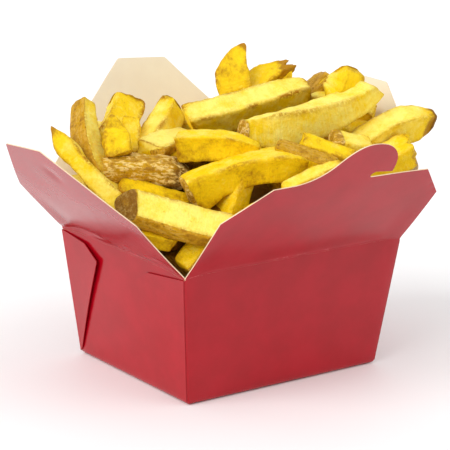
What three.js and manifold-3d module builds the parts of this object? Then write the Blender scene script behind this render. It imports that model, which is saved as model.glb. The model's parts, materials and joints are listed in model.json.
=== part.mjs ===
// A takeaway carton of thick hand-cut french fries, with its four lid flaps folded open.
//
// Millimetres, +Z up. The origin is the centre of the carton's base, where it stands. +X runs along
// the long walls, and the wall with the hooked flap faces -Y. Each flap hinges on its wall's crease.

import * as THREE from 'three';
import { mergeVertices } from 'three/addons/utils/BufferGeometryUtils.js';
import Module from 'manifold-3d';

const wasm = await Module();
wasm.setup();

// ---------------------------------------------------------------- driving dimensions

const BOARD = 0.5; // thickness of the paperboard
const HEIGHT = 64; // from the table to the creases round the rim
const BASE = { x: 112, y: 90 }; // outside, at the table
const RIM = { x: 127.8, y: 102.6 }; // outside, at the creases
const CORNER = 1.5; // radius of the folded upright corners
const BASE_ROUND = 2.4; // radius where the walls turn into the base
const CREASE_GAP = 0.8; // board left out on each side of a hinge axis, so that a flap turns freely
const SIDE_TRIM = 0.6; // how far a flap stops short of the carton's corners
const WEB_PROUD = 1.0; // two layers of board: how far a folded corner web stands off its end wall
const FOOD_CLEAR = 0.4; // air between the fries and the board

// How far each flap leans out from upright, and how far its middle bows outwards, across its height.
const LEAN = { front: 38.5, left: 42.5, back: 20.7, right: 15 };
const BOW = { front: 1, left: 1.2, back: 2.4, right: 1.2 };

// The free corners of the plain flaps: distance along the crease from the flap's left end, and up the flap.
const BACK_CORNERS = [[127.2, 27.5], [77.8, 76.6], [50, 78.6], [0.6, 27.5]];
const LEFT_CORNERS = [[100.3, 35.8], [73.3, 72.5], [39.4, 77.5], [-1.8, 40.6]];
const RIGHT_CORNERS = [[102, 36], [67, 71], [35, 71], [0.6, 36]];

// The heap's crown: where it is highest, how far it rises over its brim, and how it falls away.
const CROWN = { x: 14, y: 6, brim: 74, rise: 48, reach: { x: 100, y: 75 }, power: 2.6 };

// The fries between and under the top ones. They are tried in layers, each at a depth below the crown and
// from its foremost y backwards, on a grid of columns and rows, and the sizes lie in these ranges.
const UNDER = {
  layers: [
    { depth: 4, foremost: 12 },
    { depth: 6, foremost: -50 },
    { depth: 9, foremost: -50 },
    { depth: 13, foremost: -50 },
    { depth: 18, foremost: -50 },
  ],
  columns: 5,
  rows: 4,
  spacing: { x: 15, y: 13 },
  jitter: { x: 5, y: 4 },
  within: { x: 62, y: 49 },
  length: [40, 60],
  wide: [11, 14],
  deep: [10, 13],
  roll: 35,
  arch: 5,
  slope: 0.8,
  steepest: 0.6,
};

const RED_BOARD = { color: 0xc02835, roughness: 0.3, metalness: 0 };
const FRIED_POTATO = { color: 0xe6bd2e, roughness: 0.55, metalness: 0 };

// ---------------------------------------------------------------- solids and meshes

const radians = THREE.MathUtils.degToRad;

/** Turns a closed three.js geometry into a manifold-3d solid. */
function solidOf(geometry) {
  geometry.deleteAttribute('normal');
  geometry.deleteAttribute('uv');
  const merged = mergeVertices(geometry, 1e-4);
  const index = merged.index.array;
  const triangles = [];
  for (let i = 0; i < index.length; i += 3) {
    const [a, b, c] = [index[i], index[i + 1], index[i + 2]];
    if (a !== b && b !== c && c !== a) {
      triangles.push(a, b, c);
    }
  }
  return new wasm.Manifold(new wasm.Mesh({
    numProp: 3,
    vertProperties: new Float32Array(merged.attributes.position.array),
    triVerts: new Uint32Array(triangles),
  }));
}

/** Turns a solid back into a three.js geometry. */
function geometryOf(solid) {
  const mesh = solid.getMesh();
  const geometry = new THREE.BufferGeometry();
  geometry.setAttribute('position', new THREE.BufferAttribute(new Float32Array(mesh.vertProperties), 3));
  geometry.setIndex(new THREE.BufferAttribute(new Uint32Array(mesh.triVerts), 1));
  geometry.computeVertexNormals();
  return geometry;
}

/** Makes the named mesh of one sub-part. */
function partMesh(name, solid, finish) {
  const mesh = new THREE.Mesh(geometryOf(solid), new THREE.MeshStandardMaterial(finish));
  mesh.name = name;
  return mesh;
}

/** Moves each vertex of a geometry to where place(x, y, z) says. */
function mapVertices(geometry, place) {
  const position = geometry.attributes.position;
  for (let i = 0; i < position.count; i += 1) {
    position.setXYZ(i, ...place(position.getX(i), position.getY(i), position.getZ(i)));
  }
  return geometry;
}

/** Extrudes straight-sided points along +Z by depth. */
function prism(points, depth) {
  const shape = new THREE.Shape(points.map(([x, y]) => new THREE.Vector2(x, y)));
  return new THREE.ExtrudeGeometry(shape, { depth, bevelEnabled: false });
}

// ---------------------------------------------------------------- carton

/** How far the walls have flared outwards at height z. */
function flareAt(z) {
  return {
    x: (RIM.x - BASE.x) / 2 * z / HEIGHT,
    y: (RIM.y - BASE.y) / 2 * z / HEIGHT,
  };
}

/** A solid tapered like the carton, set in from its outside, over the given [height, inset] levels. */
function taperedBlock(levels, radius) {
  const hx = BASE.x / 2;
  const hy = BASE.y / 2;
  const shape = new THREE.Shape();
  shape.moveTo(hx, -hy + radius);
  shape.absarc(hx - radius, hy - radius, radius, 0, Math.PI / 2, false);
  shape.absarc(-hx + radius, hy - radius, radius, Math.PI / 2, Math.PI, false);
  shape.absarc(-hx + radius, -hy + radius, radius, Math.PI, Math.PI * 1.5, false);
  shape.absarc(hx - radius, -hy + radius, radius, Math.PI * 1.5, Math.PI * 2, false);
  const steps = levels.length - 1;
  const options = { depth: steps, steps, bevelEnabled: false, curveSegments: 4 };
  const block = new THREE.ExtrudeGeometry(shape, options);
  return solidOf(mapVertices(block, (x, y, level) => {
    const [z, inset] = levels[Math.round(level)];
    const flare = flareAt(z);
    return [x + Math.sign(x) * (flare.x - inset), y + Math.sign(y) * (flare.y - inset), z];
  }));
}

/** The [height, inset] levels of a tapered block with a rounded foot, set in all round from the outside. */
function roundedLevels(inset, top) {
  const knee = BASE_ROUND - (BASE_ROUND - inset) * Math.SQRT1_2;
  return [[inset, BASE_ROUND], [knee, knee], [BASE_ROUND, inset], [top, inset]];
}

/**
 * A corner web: the board between two walls, folded double and glued flat on the end wall. Its outline
 * is given as [distance along the wall from the carton's middle, height] for the corner at +X +Y.
 */
function cornerWeb(outline, signX, signY) {
  const web = mapVertices(prism(outline, WEB_PROUD + BOARD / 2), (along, z, out) => {
    const wall = BASE.x / 2 + flareAt(z).x - BOARD / 2;
    return [signX * (wall + out), signY * along, z];
  });
  const solid = solidOf(web);
  // A mirror in both directions is a turn, and keeps the faces outward; one mirror alone turns them in.
  return solid.volume() > 0 ? solid : turnedRightWayOut(web);
}

/** The same geometry with every triangle's winding reversed. */
function turnedRightWayOut(geometry) {
  const plain = geometry.index ? geometry.toNonIndexed() : geometry;
  const position = plain.attributes.position;
  const reversed = [];
  for (let i = 0; i < position.count; i += 3) {
    for (const corner of [i, i + 2, i + 1]) {
      reversed.push(position.getX(corner), position.getY(corner), position.getZ(corner));
    }
  }
  const turned = new THREE.BufferGeometry();
  turned.setAttribute('position', new THREE.Float32BufferAttribute(reversed, 3));
  return solidOf(turned);
}

/** The carton: a tapered tray of board, open at the top, with four folded corner webs. */
function carton() {
  const top = HEIGHT - CREASE_GAP;
  const outside = taperedBlock(roundedLevels(0, top), CORNER);
  const inside = taperedBlock(roundedLevels(BOARD, HEIGHT), CORNER);
  const cornerAt = (z) => [BASE.y / 2 + flareAt(z).y - CORNER, z];
  const corner = [cornerAt(1.2), cornerAt(top - 0.4)];
  const straightWeb = [...corner, [30, 61], [19, 54.5], [42.5, 4]];
  const curvedWeb = [...corner, [21.5, 59.5], [10.5, 52.7], [15.5, 43], [23.5, 27.5], [35.5, 11]];
  return outside.subtract(inside)
    .add(cornerWeb(straightWeb, -1, 1))
    .add(cornerWeb(curvedWeb, -1, -1))
    .add(cornerWeb(straightWeb, 1, -1))
    .add(cornerWeb(curvedWeb, 1, 1));
}

// ---------------------------------------------------------------- lid flaps
//
// A flap's own axes are x along its crease, y outwards through the board and z up the flap. Its outline
// is drawn on x and z, and the board behind that outline bows outwards a little between crease and top.

/** The board of a flap before its outline is cut: a strip that bows outwards by bow at its middle. */
function bowedStrip(length, reach, bow) {
  const steps = 6;
  const spare = 3; // longer at each end than the crease, where some flaps widen
  const outwards = (z) => 4 * bow * (z / reach) * (1 - z / reach);
  const outer = [];
  const inner = [];
  for (let i = 0; i <= steps; i += 1) {
    const z = CREASE_GAP + (reach + 1 - CREASE_GAP) * i / steps;
    outer.push([outwards(z) + BOARD / 2, z]);
    inner.unshift([outwards(z) - BOARD / 2, z]);
  }
  const strip = prism([...outer, ...inner], length + 2 * spare);
  return solidOf(strip.applyMatrix4(new THREE.Matrix4().set(
    0, 0, 1, -spare,
    1, 0, 0, 0,
    0, 1, 0, 0,
    0, 0, 0, 1,
  )));
}

/** Cuts a flap out of bowed board along an outline. */
function flapSolid(outline, length, reach, bow) {
  const through = 40;
  const options = { depth: through, bevelEnabled: false, curveSegments: 8 };
  const cutter = new THREE.ExtrudeGeometry(outline, options);
  cutter.rotateX(Math.PI / 2);
  cutter.translate(0, through / 2, 0);
  return bowedStrip(length, reach, bow).intersect(solidOf(cutter));
}

/** A plain flap: its corners from the end of the right side, over the top edge, to the end of the left side. */
function plainOutline(length, corners) {
  const outline = new THREE.Shape();
  outline.moveTo(SIDE_TRIM, 0);
  outline.lineTo(length - SIDE_TRIM, 0);
  for (const [along, up] of corners) {
    outline.lineTo(along, up);
  }
  outline.closePath();
  return outline;
}

/** The closing flap: it rises to a round hook with a slit under it, which locks into the back flap. */
function hookedOutline() {
  const outline = new THREE.Shape();
  outline.moveTo(SIDE_TRIM, 0);
  outline.lineTo(RIM.x - SIDE_TRIM, 0);
  outline.lineTo(128.1, 41);
  outline.lineTo(108.5, 60.7);
  outline.lineTo(96.5, 61);
  outline.bezierCurveTo(87, 62.3, 81.5, 66.4, 77.8, 71.9);
  outline.bezierCurveTo(72.7, 79.1, 68.6, 82.2, 62.3, 82.2);
  outline.bezierCurveTo(51, 82.2, 40.8, 74, 40.8, 60.6);
  outline.lineTo(51.4, 62.4);
  outline.bezierCurveTo(53.8, 61.4, 54.2, 60.3, 52.7, 58.9);
  outline.lineTo(17, 57.1);
  outline.lineTo(0.1, 37.5);
  outline.closePath();
  return outline;
}

/** A flap's mesh inside a group that stands at its crease and faces the way that its wall does. */
function hingedFlap(name, outline, length, reach, facing, hinge) {
  const side = name.split('_')[1];
  const mesh = partMesh(name, flapSolid(outline, length, reach, BOW[side]), RED_BOARD);
  mesh.rotation.x = -radians(LEAN[side]);
  mesh.position.set(-length / 2, 0, 0);
  const group = new THREE.Group();
  group.position.set(hinge.x, hinge.y, HEIGHT);
  group.rotation.z = radians(facing);
  group.add(mesh);
  return group;
}

// ---------------------------------------------------------------- fries

/** The horizontal space between walls and flaps at height z, less a margin. */
function roomAt(z, margin) {
  const flare = flareAt(Math.min(z, HEIGHT));
  const above = Math.max(0, z - HEIGHT);
  const wallX = BASE.x / 2 + flare.x;
  const wallY = BASE.y / 2 + flare.y;
  const backFlapLean = LEAN.back + 1.3; // the back flap bows outwards the most
  return {
    left: -wallX - above * Math.tan(radians(LEAN.left)) + margin,
    right: wallX + above * Math.tan(radians(LEAN.right)) - margin,
    front: -wallY - above * Math.tan(radians(LEAN.front)) + margin,
    back: wallY + above * Math.tan(radians(backFlapLean)) - margin,
  };
}

/** Whether a point is clear of walls and flaps by a margin. */
function hasRoom(point, margin) {
  const leaning = 1.2; // a margin square to a leaning flap reaches further along x or y
  const room = roomAt(point.z, margin * leaning);
  return point.x > room.left && point.x < room.right && point.y > room.front && point.y < room.back;
}

/** Height of the heap's crown, highest right of the middle and low at the edges. */
function crownAt(x, y) {
  const fallX = Math.abs((x - CROWN.x) / CROWN.reach.x) ** CROWN.power;
  const fallY = Math.abs((y - CROWN.y) / CROWN.reach.y) ** CROWN.power;
  return CROWN.brim + CROWN.rise * (1 - Math.min(1, fallX + fallY));
}

/** A fry's kinds of end: its share of the full section there, how far back it narrows, and how roundly. */
const END_SHAPES = {
  cut: { size: 0.9, reach: () => 3, power: 0.6 },
  round: { size: 0.5, reach: (length) => 0.2 * length, power: 0.5 },
  taper: { size: 0.35, reach: (length) => 0.4 * length, power: 0.6 },
  spear: { size: 0.05, reach: (length) => 0.26 * length, power: 0.85 },
  point: { size: 0.12, reach: (length) => 0.55 * length, power: 0.75 },
};

/**
 * One fry: its two ends, the width and depth of its section, its roll about its own length in degrees,
 * how far its middle arches upwards and sways sideways, and the shapes of its ends. A fry that changes
 * along its length also has a twist in degrees, and [share of its length, width scale, depth scale] knots.
 */
function lay(from, to, wide, deep, roll, arch, sway, start, finish, twist = 0, knots = []) {
  return {
    from: new THREE.Vector3(...from),
    to: new THREE.Vector3(...to),
    wide, deep, roll, arch, sway, start, finish, twist, knots,
  };
}

const SPEAR_HEAD = [[0, 1, 1], [0.6, 1, 1], [0.82, 1.6, 1.4], [1, 1.4, 1.3]];
const THIN_END = [[0, 1, 1], [0.6, 1, 1], [1, 0.75, 0.9]];
const DEEP_START = [[0, 1, 1.45], [0.25, 1, 1.15], [0.6, 1, 1], [1, 1.1, 1.1]];
const FLAT_END = [[0, 1, 1], [0.6, 1, 1], [0.85, 0.95, 0.75], [1, 0.9, 0.5]];

// The fries that lie on top of the heap, along the left and front flaps, then the crown, then the back.
const TOP_FRIES = [
  lay([-75, -16, 92], [-88, 23, 122], 8, 8, -30, -2, 0, 'cut', 'spear', 0, SPEAR_HEAD),
  lay([-81, -29, 95], [-41, -55, 82], 15, 11, -40, 0, 0, 'cut', 'cut'),
  lay([-74, -32, 82], [-61, -40, 78], 9, 8, -20, 0, 0, 'cut', 'cut'),
  lay([-60, -45, 67], [-46, -43, 78], 10, 9, -20, 0, 0, 'cut', 'cut'),
  lay([-71, -5, 90], [-63, 35, 128], 10, 12, -33, 0, -5, 'cut', 'cut', 0, THIN_END),
  lay([-58, 24, 108], [-35, 39, 124], 16, 11, -36, 0, 2, 'cut', 'cut'),
  lay([-65, 1, 110], [-60, 15, 126], 13, 7, 10, 0, 0, 'cut', 'point'),
  lay([-48, 16, 105], [-40, 27, 118], 9, 8, 0, 0, 0, 'cut', 'cut'),
  lay([-43, 18, 104], [-16, 28, 123], 15, 12, 20, 0, 3, 'cut', 'cut', 0, THIN_END),
  lay([-47, 2, 110], [-19, 12, 112], 14, 8, -10, 0, 0, 'cut', 'cut'),
  lay([-69, 5, 104], [-36, -15, 100], 13, 11, -14, 1, 0, 'cut', 'round'),
  lay([-71, -6, 95], [-44, -24, 87], 11, 11, -20, 0, 0, 'cut', 'cut'),
  lay([-41, -12, 114], [-14, -39, 114], 11, 13, -8, 1.5, 0, 'cut', 'taper'),
  lay([-47, -29, 96], [3, -52, 109], 14, 13, -10, 5, 0, 'cut', 'round', 0, DEEP_START),
  lay([-21, 7, 120], [42, -3, 130], 14, 14, -22, -1, 0, 'cut', 'round'),
  lay([-12, -22, 120], [58, -32, 136], 13, 16, -2, -6.5, 0, 'round', 'cut', -30, FLAT_END),
  lay([46, -19, 128], [52, -19, 142], 14, 12, 0, 0, 3, 'cut', 'round'),
  lay([49, 8, 122], [61, 4, 132], 13, 10, 0, 0, 0, 'cut', 'cut'),
  lay([12, 12, 127], [18, 17, 152], 17, 8, 0, 0, -4, 'cut', 'point'),
  lay([15, 19, 125], [38, 8, 141], 15, 9, -20, 0, 0, 'cut', 'taper'),
  lay([47, -36, 106], [86, -46, 119], 14, 14, -20, 4, 0, 'cut', 'round'),
  lay([36, -43, 93], [64, -56, 109], 15, 13, -20, 0, 0, 'cut', 'cut'),
  lay([23, -45, 115], [39, -52, 111], 12, 11, -20, 0, 0, 'cut', 'cut'),
  lay([7, -43, 115], [24, -58, 108], 11, 10, -20, 0, 0, 'cut', 'cut'),
  lay([-7, -42, 113], [12, -59, 106], 11, 11, -20, 0, 0, 'cut', 'cut'),
  lay([-15, -59, 99], [12, -67, 111], 7, 6, -20, 0, 0, 'cut', 'taper'),
  lay([-31, -39, 83], [-23, -38, 104], 12, 11, 0, 0, 0, 'cut', 'cut'),
  lay([-29, -51, 87], [-8, -62, 97], 10, 10, -20, 0, 0, 'cut', 'cut'),
  lay([48, -44, 79], [73, -60, 86], 9, 9, 0, 0, 0, 'cut', 'round'),
  lay([6, 30, 92], [4, 56, 111], 14, 11, 15, 0, 0, 'cut', 'round'),
  lay([18, 34, 94], [28, 57, 111], 13, 12, -20, 0, 3, 'cut', 'cut'),
  lay([36, 32, 98], [42, 60, 118], 15, 11, 30, 0, 0, 'cut', 'taper'),
  lay([52, 28, 98], [61, 50, 118], 13, 12, 10, 0, 0, 'cut', 'round'),
  lay([-14, 38, 106], [34, 40, 112], 14, 13, 25, 4, 0, 'round', 'cut'),
  lay([24, 24, 122], [66, 8, 120], 14, 12, 20, 3, 0, 'cut', 'taper'),
  lay([60, -26, 106], [66, 22, 110], 13, 14, 10, 3, 0, 'cut', 'cut'),
  lay([46, 6, 122], [72, -18, 116], 13, 12, -15, 2, 0, 'round', 'cut'),
  lay([54, 34, 92], [70, 32, 116], 13, 11, 0, 0, -3, 'cut', 'spear'),
  lay([-20, 42, 96], [-46, 52, 108], 13, 11, 0, 0, 3, 'cut', 'cut'),
  lay([-46, 40, 78], [-70, 36, 90], 12, 11, 10, 0, 0, 'cut', 'taper'),
  lay([-2, 50, 98], [44, 53, 101], 13, 13, 20, 2, 0, 'cut', 'round'),
  lay([-56, 46, 84], [-10, 52, 90], 13, 12, -20, 2, 0, 'round', 'cut'),
  lay([62, -8, 94], [62, 44, 92], 13, 12, 0, 2, 0, 'cut', 'cut'),
  lay([-62, 42, 74], [-34, 30, 92], 13, 12, 15, 2, 0, 'round', 'cut'),
  lay([-66, 26, 80], [-44, 44, 90], 12, 12, -10, 2, 0, 'cut', 'round'),
  lay([-12, 24, 108], [14, 14, 118], 13, 12, 20, 2, 0, 'cut', 'cut'),
  lay([-42, 46, 92], [-22, 26, 100], 13, 12, 15, 2, 0, 'cut', 'round'),
  lay([29, 6, 124], [36, 2, 139.5], 6, 5, 0, 0, 0, 'cut', 'spear'),
];

/** The direction of a fry, and its sideways and upward directions before it is rolled. */
function fryFrame(fry) {
  const along = fry.to.clone().sub(fry.from);
  const length = along.length();
  along.normalize();
  const sideways = along.clone().cross(new THREE.Vector3(0, 0, 1)).normalize();
  const upwards = sideways.clone().cross(along);
  return { along, length, sideways, upwards };
}

/** The point on a fry's middle line at fraction f of its length. */
function fryPoint(fry, frame, f) {
  const bend = 4 * f * (1 - f);
  return fry.from.clone()
    .addScaledVector(frame.along, frame.length * f)
    .addScaledVector(frame.upwards, fry.arch * bend)
    .addScaledVector(frame.sideways, fry.sway * bend);
}

/** How much of its full section a fry keeps at fraction f of its length. */
function frySection(fry, length, f) {
  let keep = 1;
  for (const [name, distance] of [[fry.start, f * length], [fry.finish, (1 - f) * length]]) {
    const end = END_SHAPES[name];
    const reach = end.reach(length);
    if (distance < reach) {
      keep *= end.size + (1 - end.size) * (distance / reach) ** end.power;
    }
  }
  return keep;
}

/** How much wider and deeper than its plain section a fry is at fraction f of its length. */
function fryScale(fry, f) {
  const place = fry.knots.findIndex(([share]) => share >= f);
  if (place < 1) {
    return fry.knots.length > 0 ? fry.knots[0].slice(1) : [1, 1];
  }
  const [before, after] = [fry.knots[place - 1], fry.knots[place]];
  const part = (f - before[0]) / (after[0] - before[0]);
  return [1, 2].map((i) => before[i] + (after[i] - before[i]) * part);
}

/** A fry as a solid: a square bar in eight lengths, bent, rolled and tapered. */
function frySolid(fry) {
  const lengths = 8;
  const frame = fryFrame(fry);
  const bar = new THREE.BoxGeometry(1, 1, 1, lengths, 1, 1);
  return solidOf(mapVertices(bar, (x, y, z) => {
    const f = Math.min(1, 0.5 - 0.5 * Math.cos(Math.PI * (x + 0.5)));
    const roll = radians(fry.roll + fry.twist * (f - 0.5));
    const keep = frySection(fry, frame.length, f);
    const [wider, deeper] = fryScale(fry, f);
    const slope = 4 * (1 - 2 * f) / frame.length;
    const tangent = frame.along.clone()
      .addScaledVector(frame.upwards, fry.arch * slope)
      .addScaledVector(frame.sideways, fry.sway * slope)
      .normalize();
    const side = tangent.clone().cross(frame.upwards).normalize();
    const up = side.clone().cross(tangent);
    const across = -y * fry.wide * wider * keep;
    const high = z * fry.deep * deeper * keep;
    return fryPoint(fry, frame, f)
      .addScaledVector(side, across * Math.cos(roll) - high * Math.sin(roll))
      .addScaledVector(up, across * Math.sin(roll) + high * Math.cos(roll))
      .toArray();
  }));
}

/** A fry's middle line as nine points, with half its thinner side, for telling whether two fries meet. */
function fryChain(fry) {
  const frame = fryFrame(fry);
  const points = [];
  for (let i = 0; i <= 8; i += 1) {
    points.push(fryPoint(fry, frame, i / 8));
  }
  return { points, radius: Math.min(fry.wide, fry.deep) / 2 };
}

/** Whether a chain keeps clear of every other, apart from the slack that fries press into each other. */
function isClear(chain, others) {
  const slack = 1.2;
  return others.every((other) => {
    const limit = chain.radius + other.radius - slack;
    return chain.points.every((a) => other.points.every((b) => a.distanceTo(b) >= limit));
  });
}

/** A repeatable source of numbers between a and b. */
function seededDraws(seed) {
  const multiplier = 16807;
  const modulus = 2147483647;
  let state = seed;
  return (a, b) => {
    state = (state * multiplier) % modulus;
    return a + (b - a) * state / modulus;
  };
}

/** Pulls a fry's ends in until both are clear of walls and flaps, or gives up and returns null. */
function pulledIn(fry) {
  const margin = Math.hypot(fry.wide, fry.deep) / 2;
  const from = fry.from.clone();
  const to = fry.to.clone();
  for (let i = 0; i < 10; i += 1) {
    const startFits = hasRoom(from, margin);
    const finishFits = hasRoom(to, margin);
    if (startFits && finishFits) {
      break;
    }
    if (!startFits) {
      from.lerp(to, 0.1);
    }
    if (!finishFits) {
      to.lerp(from, 0.1);
    }
  }
  const shortest = 24;
  const fits = hasRoom(from, margin) && hasRoom(to, margin) && from.distanceTo(to) >= shortest;
  return fits ? { ...fry, from, to } : null;
}

/** Lets a fry down in small steps until it has room, and returns it, or null where there is none. */
function settled(fry, others) {
  const step = 2.5;
  const tries = 9;
  for (let i = 0; i < tries; i += 1) {
    const down = new THREE.Vector3(0, 0, -step * i);
    const lower = pulledIn({ ...fry, from: fry.from.clone().add(down), to: fry.to.clone().add(down) });
    if (lower && isClear(fryChain(lower), others)) {
      return lower;
    }
  }
  return null;
}

/** The fries between and under the top ones, in layers, each lying any way round wherever it finds room. */
function underFries(topFries) {
  const draw = seededDraws(7);
  const chains = topFries.map(fryChain);
  const found = [];
  for (const layer of UNDER.layers) {
    for (let column = -UNDER.columns; column <= UNDER.columns; column += 1) {
      for (let row = -UNDER.rows; row <= UNDER.rows; row += 1) {
        const x = column * UNDER.spacing.x + draw(-UNDER.jitter.x, UNDER.jitter.x);
        const y = row * UNDER.spacing.y + draw(-UNDER.jitter.y, UNDER.jitter.y);
        const fry = drawnFry(draw, x, y, crownAt(x, y) - layer.depth);
        const isOverCarton = Math.abs(x) <= UNDER.within.x && Math.abs(y) <= UNDER.within.y;
        const settledFry = isOverCarton && y >= layer.foremost ? settled(fry, chains) : null;
        if (settledFry) {
          chains.push(fryChain(settledFry));
          found.push(settledFry);
        }
      }
    }
  }
  return found;
}

/** A fry of drawn size and heading, its middle at a given place, that follows the slope of the crown. */
function drawnFry(draw, x, y, z) {
  const heading = radians(draw(0, 180));
  const half = draw(...UNDER.length) / 2;
  const wide = draw(...UNDER.wide);
  const deep = draw(...UNDER.deep);
  const roll = draw(-UNDER.roll, UNDER.roll);
  const arch = draw(0, UNDER.arch);
  const dx = Math.cos(heading) * half;
  const dy = Math.sin(heading) * half;
  const fall = (crownAt(x + dx, y + dy) - crownAt(x - dx, y - dy)) / (2 * half) * UNDER.slope;
  const dz = Math.max(-UNDER.steepest, Math.min(UNDER.steepest, fall)) * half;
  const from = [x - dx, y - dy, z - dz];
  const to = [x + dx, y + dy, z + dz];
  return lay(from, to, wide, deep, roll, arch, 0, 'cut', 'cut');
}

/** The heap's core above the rim: a dome that widens with the flaps and closes under the top fries. */
function crownCore() {
  const foot = HEIGHT - 8;
  const brim = 84;
  const sunk = 17;
  const around = 36;
  const squareness = 3.2;
  const slack = { wall: 0.2, flap: 2 };
  // Each ring's share of the room there is, and its height: the rings with none lie under the crown.
  const rings = [
    [0, foot], [1, foot], [1, HEIGHT + slack.flap], [1, CROWN.brim], [1, brim],
    [0.85, null], [0.65, null], [0.4, null], [0, null],
  ];
  // The lathe's own height is a ring's place in the list, which the mapping turns into a height.
  const points = rings.map(([share], place) => new THREE.Vector2(share, place));
  const dome = new THREE.LatheGeometry(points, around).rotateX(Math.PI / 2);
  return solidOf(mapVertices(dome, (x, y, place) => {
    const height = rings[Math.round(place)][1];
    const level = height ?? brim;
    const share = Math.hypot(x, y);
    if (share === 0) {
      return [0, 0, height ?? crownAt(0, 0) - sunk];
    }
    const room = roomAt(level, FOOD_CLEAR + BOARD + (level > HEIGHT ? slack.flap : slack.wall));
    const alongX = x / share;
    const alongY = y / share;
    const corner = (Math.abs(alongX) ** squareness + Math.abs(alongY) ** squareness) ** (-1 / squareness);
    const px = x * corner * (x > 0 ? room.right : -room.left);
    const py = y * corner * (y > 0 ? room.back : -room.front);
    return [px, py, height ?? Math.max(brim, crownAt(px, py) - sunk)];
  }));
}

/** The whole heap: the filling of the carton, the crown's core, and the fries that show, in one solid. */
function heap() {
  const filling = taperedBlock(roundedLevels(BOARD + FOOD_CLEAR, HEIGHT - 3), CORNER);
  const fries = [...TOP_FRIES, ...underFries(TOP_FRIES)].map(frySolid);
  const joined = wasm.Manifold.union([filling, crownCore(), ...fries]);
  const pieces = joined.decompose();
  return pieces.reduce((largest, piece) => (piece.volume() > largest.volume() ? piece : largest));
}

// ---------------------------------------------------------------- the whole part

const part = new THREE.Group();
part.add(partMesh('carton', carton(), RED_BOARD));
part.add(
  hingedFlap('flap_front', hookedOutline(), RIM.x, 82.2, 180, { x: 0, y: -RIM.y / 2 }),
  hingedFlap('flap_back', plainOutline(RIM.x, BACK_CORNERS), RIM.x, 78.6, 0, { x: 0, y: RIM.y / 2 }),
  hingedFlap('flap_left', plainOutline(RIM.y, LEFT_CORNERS), RIM.y, 77.5, 90, { x: -RIM.x / 2, y: 0 }),
  hingedFlap('flap_right', plainOutline(RIM.y, RIGHT_CORNERS), RIM.y, 71, -90, { x: RIM.x / 2, y: 0 }),
);
part.add(partMesh('fries', heap(), FRIED_POTATO));

export default part;
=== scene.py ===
"""A takeaway carton of thick hand-cut french fries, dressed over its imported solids.

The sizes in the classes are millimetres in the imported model's own frame: +Z up, the origin in the middle
of the carton's base, the flap with the hook on the -Y side. A mesh is shaped in millimetres and turned
into metres when it becomes an object.
"""

import itertools
import json
import logging
import math
from collections.abc import Callable, Iterable, Sequence
from dataclasses import dataclass, field, replace
from enum import Enum

import bmesh
import bpy
import numpy as np
from mathutils import Matrix, Vector, geometry


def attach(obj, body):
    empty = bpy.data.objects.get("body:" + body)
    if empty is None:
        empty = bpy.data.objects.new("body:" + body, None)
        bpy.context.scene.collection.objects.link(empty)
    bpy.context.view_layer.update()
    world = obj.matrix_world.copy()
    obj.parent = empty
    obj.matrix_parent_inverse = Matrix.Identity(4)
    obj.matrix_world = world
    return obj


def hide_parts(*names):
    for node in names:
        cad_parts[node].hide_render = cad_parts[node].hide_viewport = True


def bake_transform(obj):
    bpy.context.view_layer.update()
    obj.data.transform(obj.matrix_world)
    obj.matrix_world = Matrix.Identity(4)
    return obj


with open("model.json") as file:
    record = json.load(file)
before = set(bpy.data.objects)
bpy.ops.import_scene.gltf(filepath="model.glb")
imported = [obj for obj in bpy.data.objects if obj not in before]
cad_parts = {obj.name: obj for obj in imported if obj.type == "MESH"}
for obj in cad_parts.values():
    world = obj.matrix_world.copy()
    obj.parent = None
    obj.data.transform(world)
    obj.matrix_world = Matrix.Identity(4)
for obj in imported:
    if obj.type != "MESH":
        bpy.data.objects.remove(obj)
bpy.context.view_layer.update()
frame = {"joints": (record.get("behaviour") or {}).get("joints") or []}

LOG = logging.getLogger("fries_carton")
MM = 0.001

Triple = tuple[float, float, float]
Pair = tuple[float, float]
Array = np.ndarray
Socket = bpy.types.NodeSocket

# What makes the smooth noise's values look random.
NOISE_PRIMES = (73856093, 19349663, 83492791)
NOISE_SCRAMBLE = 1274126177
NOISE_STEP = 17.31


# ---------------- numbers that vary smoothly


def smoothstep(low: float, high: float, values: Array) -> Array:
    """Eases from 0 at low to 1 at high.

    Args:
        low: Where the easing starts.
        high: Where it ends.
        values: What is eased.

    Returns:
        Values from 0 to 1.
    """
    share = np.clip((np.asarray(values, float) - low) / (high - low), 0.0, 1.0)
    return share * share * (3.0 - 2.0 * share)


def smooth_noise(points: Array, grain: float, seed: int) -> Array:
    """Random values from -1 to 1 that change smoothly over the given grain.

    Args:
        points: One row for each point, in millimetres.
        grain: Size of the bumps in millimetres.
        seed: Which pattern to use.

    Returns:
        One value for each point.
    """
    scaled = np.asarray(points, float) / grain + seed * NOISE_STEP
    cell = np.floor(scaled).astype(np.int64)
    part = scaled - cell
    part = part * part * (3.0 - 2.0 * part)
    total = np.zeros(len(scaled))
    for corner in itertools.product((0, 1), repeat=3):
        at = cell + np.array(corner)
        spread_x, spread_y, spread_z = (at[:, axis] * prime for axis, prime in enumerate(NOISE_PRIMES))
        mixed = spread_x ^ spread_y ^ spread_z
        mixed = (mixed ^ (mixed >> 13)) * NOISE_SCRAMBLE
        value = ((mixed ^ (mixed >> 16)) & 0xFFFF) / 0xFFFF * 2.0 - 1.0
        total += value * np.prod(np.where(corner, part, 1.0 - part), axis=1)
    return total


class SeededDraws:
    """A repeatable source of numbers, the same one that places the fries in the solids."""

    MULTIPLIER = 16807
    MODULUS = 2147483647

    def __init__(self, seed: int) -> None:
        """Starts the source at a seed."""
        self.state = seed

    def between(self, low: float, high: float) -> float:
        """The next number between low and high."""
        self.state = (self.state * self.MULTIPLIER) % self.MODULUS
        return low + (high - low) * self.state / self.MODULUS


# ---------------- shader nodes


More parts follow.
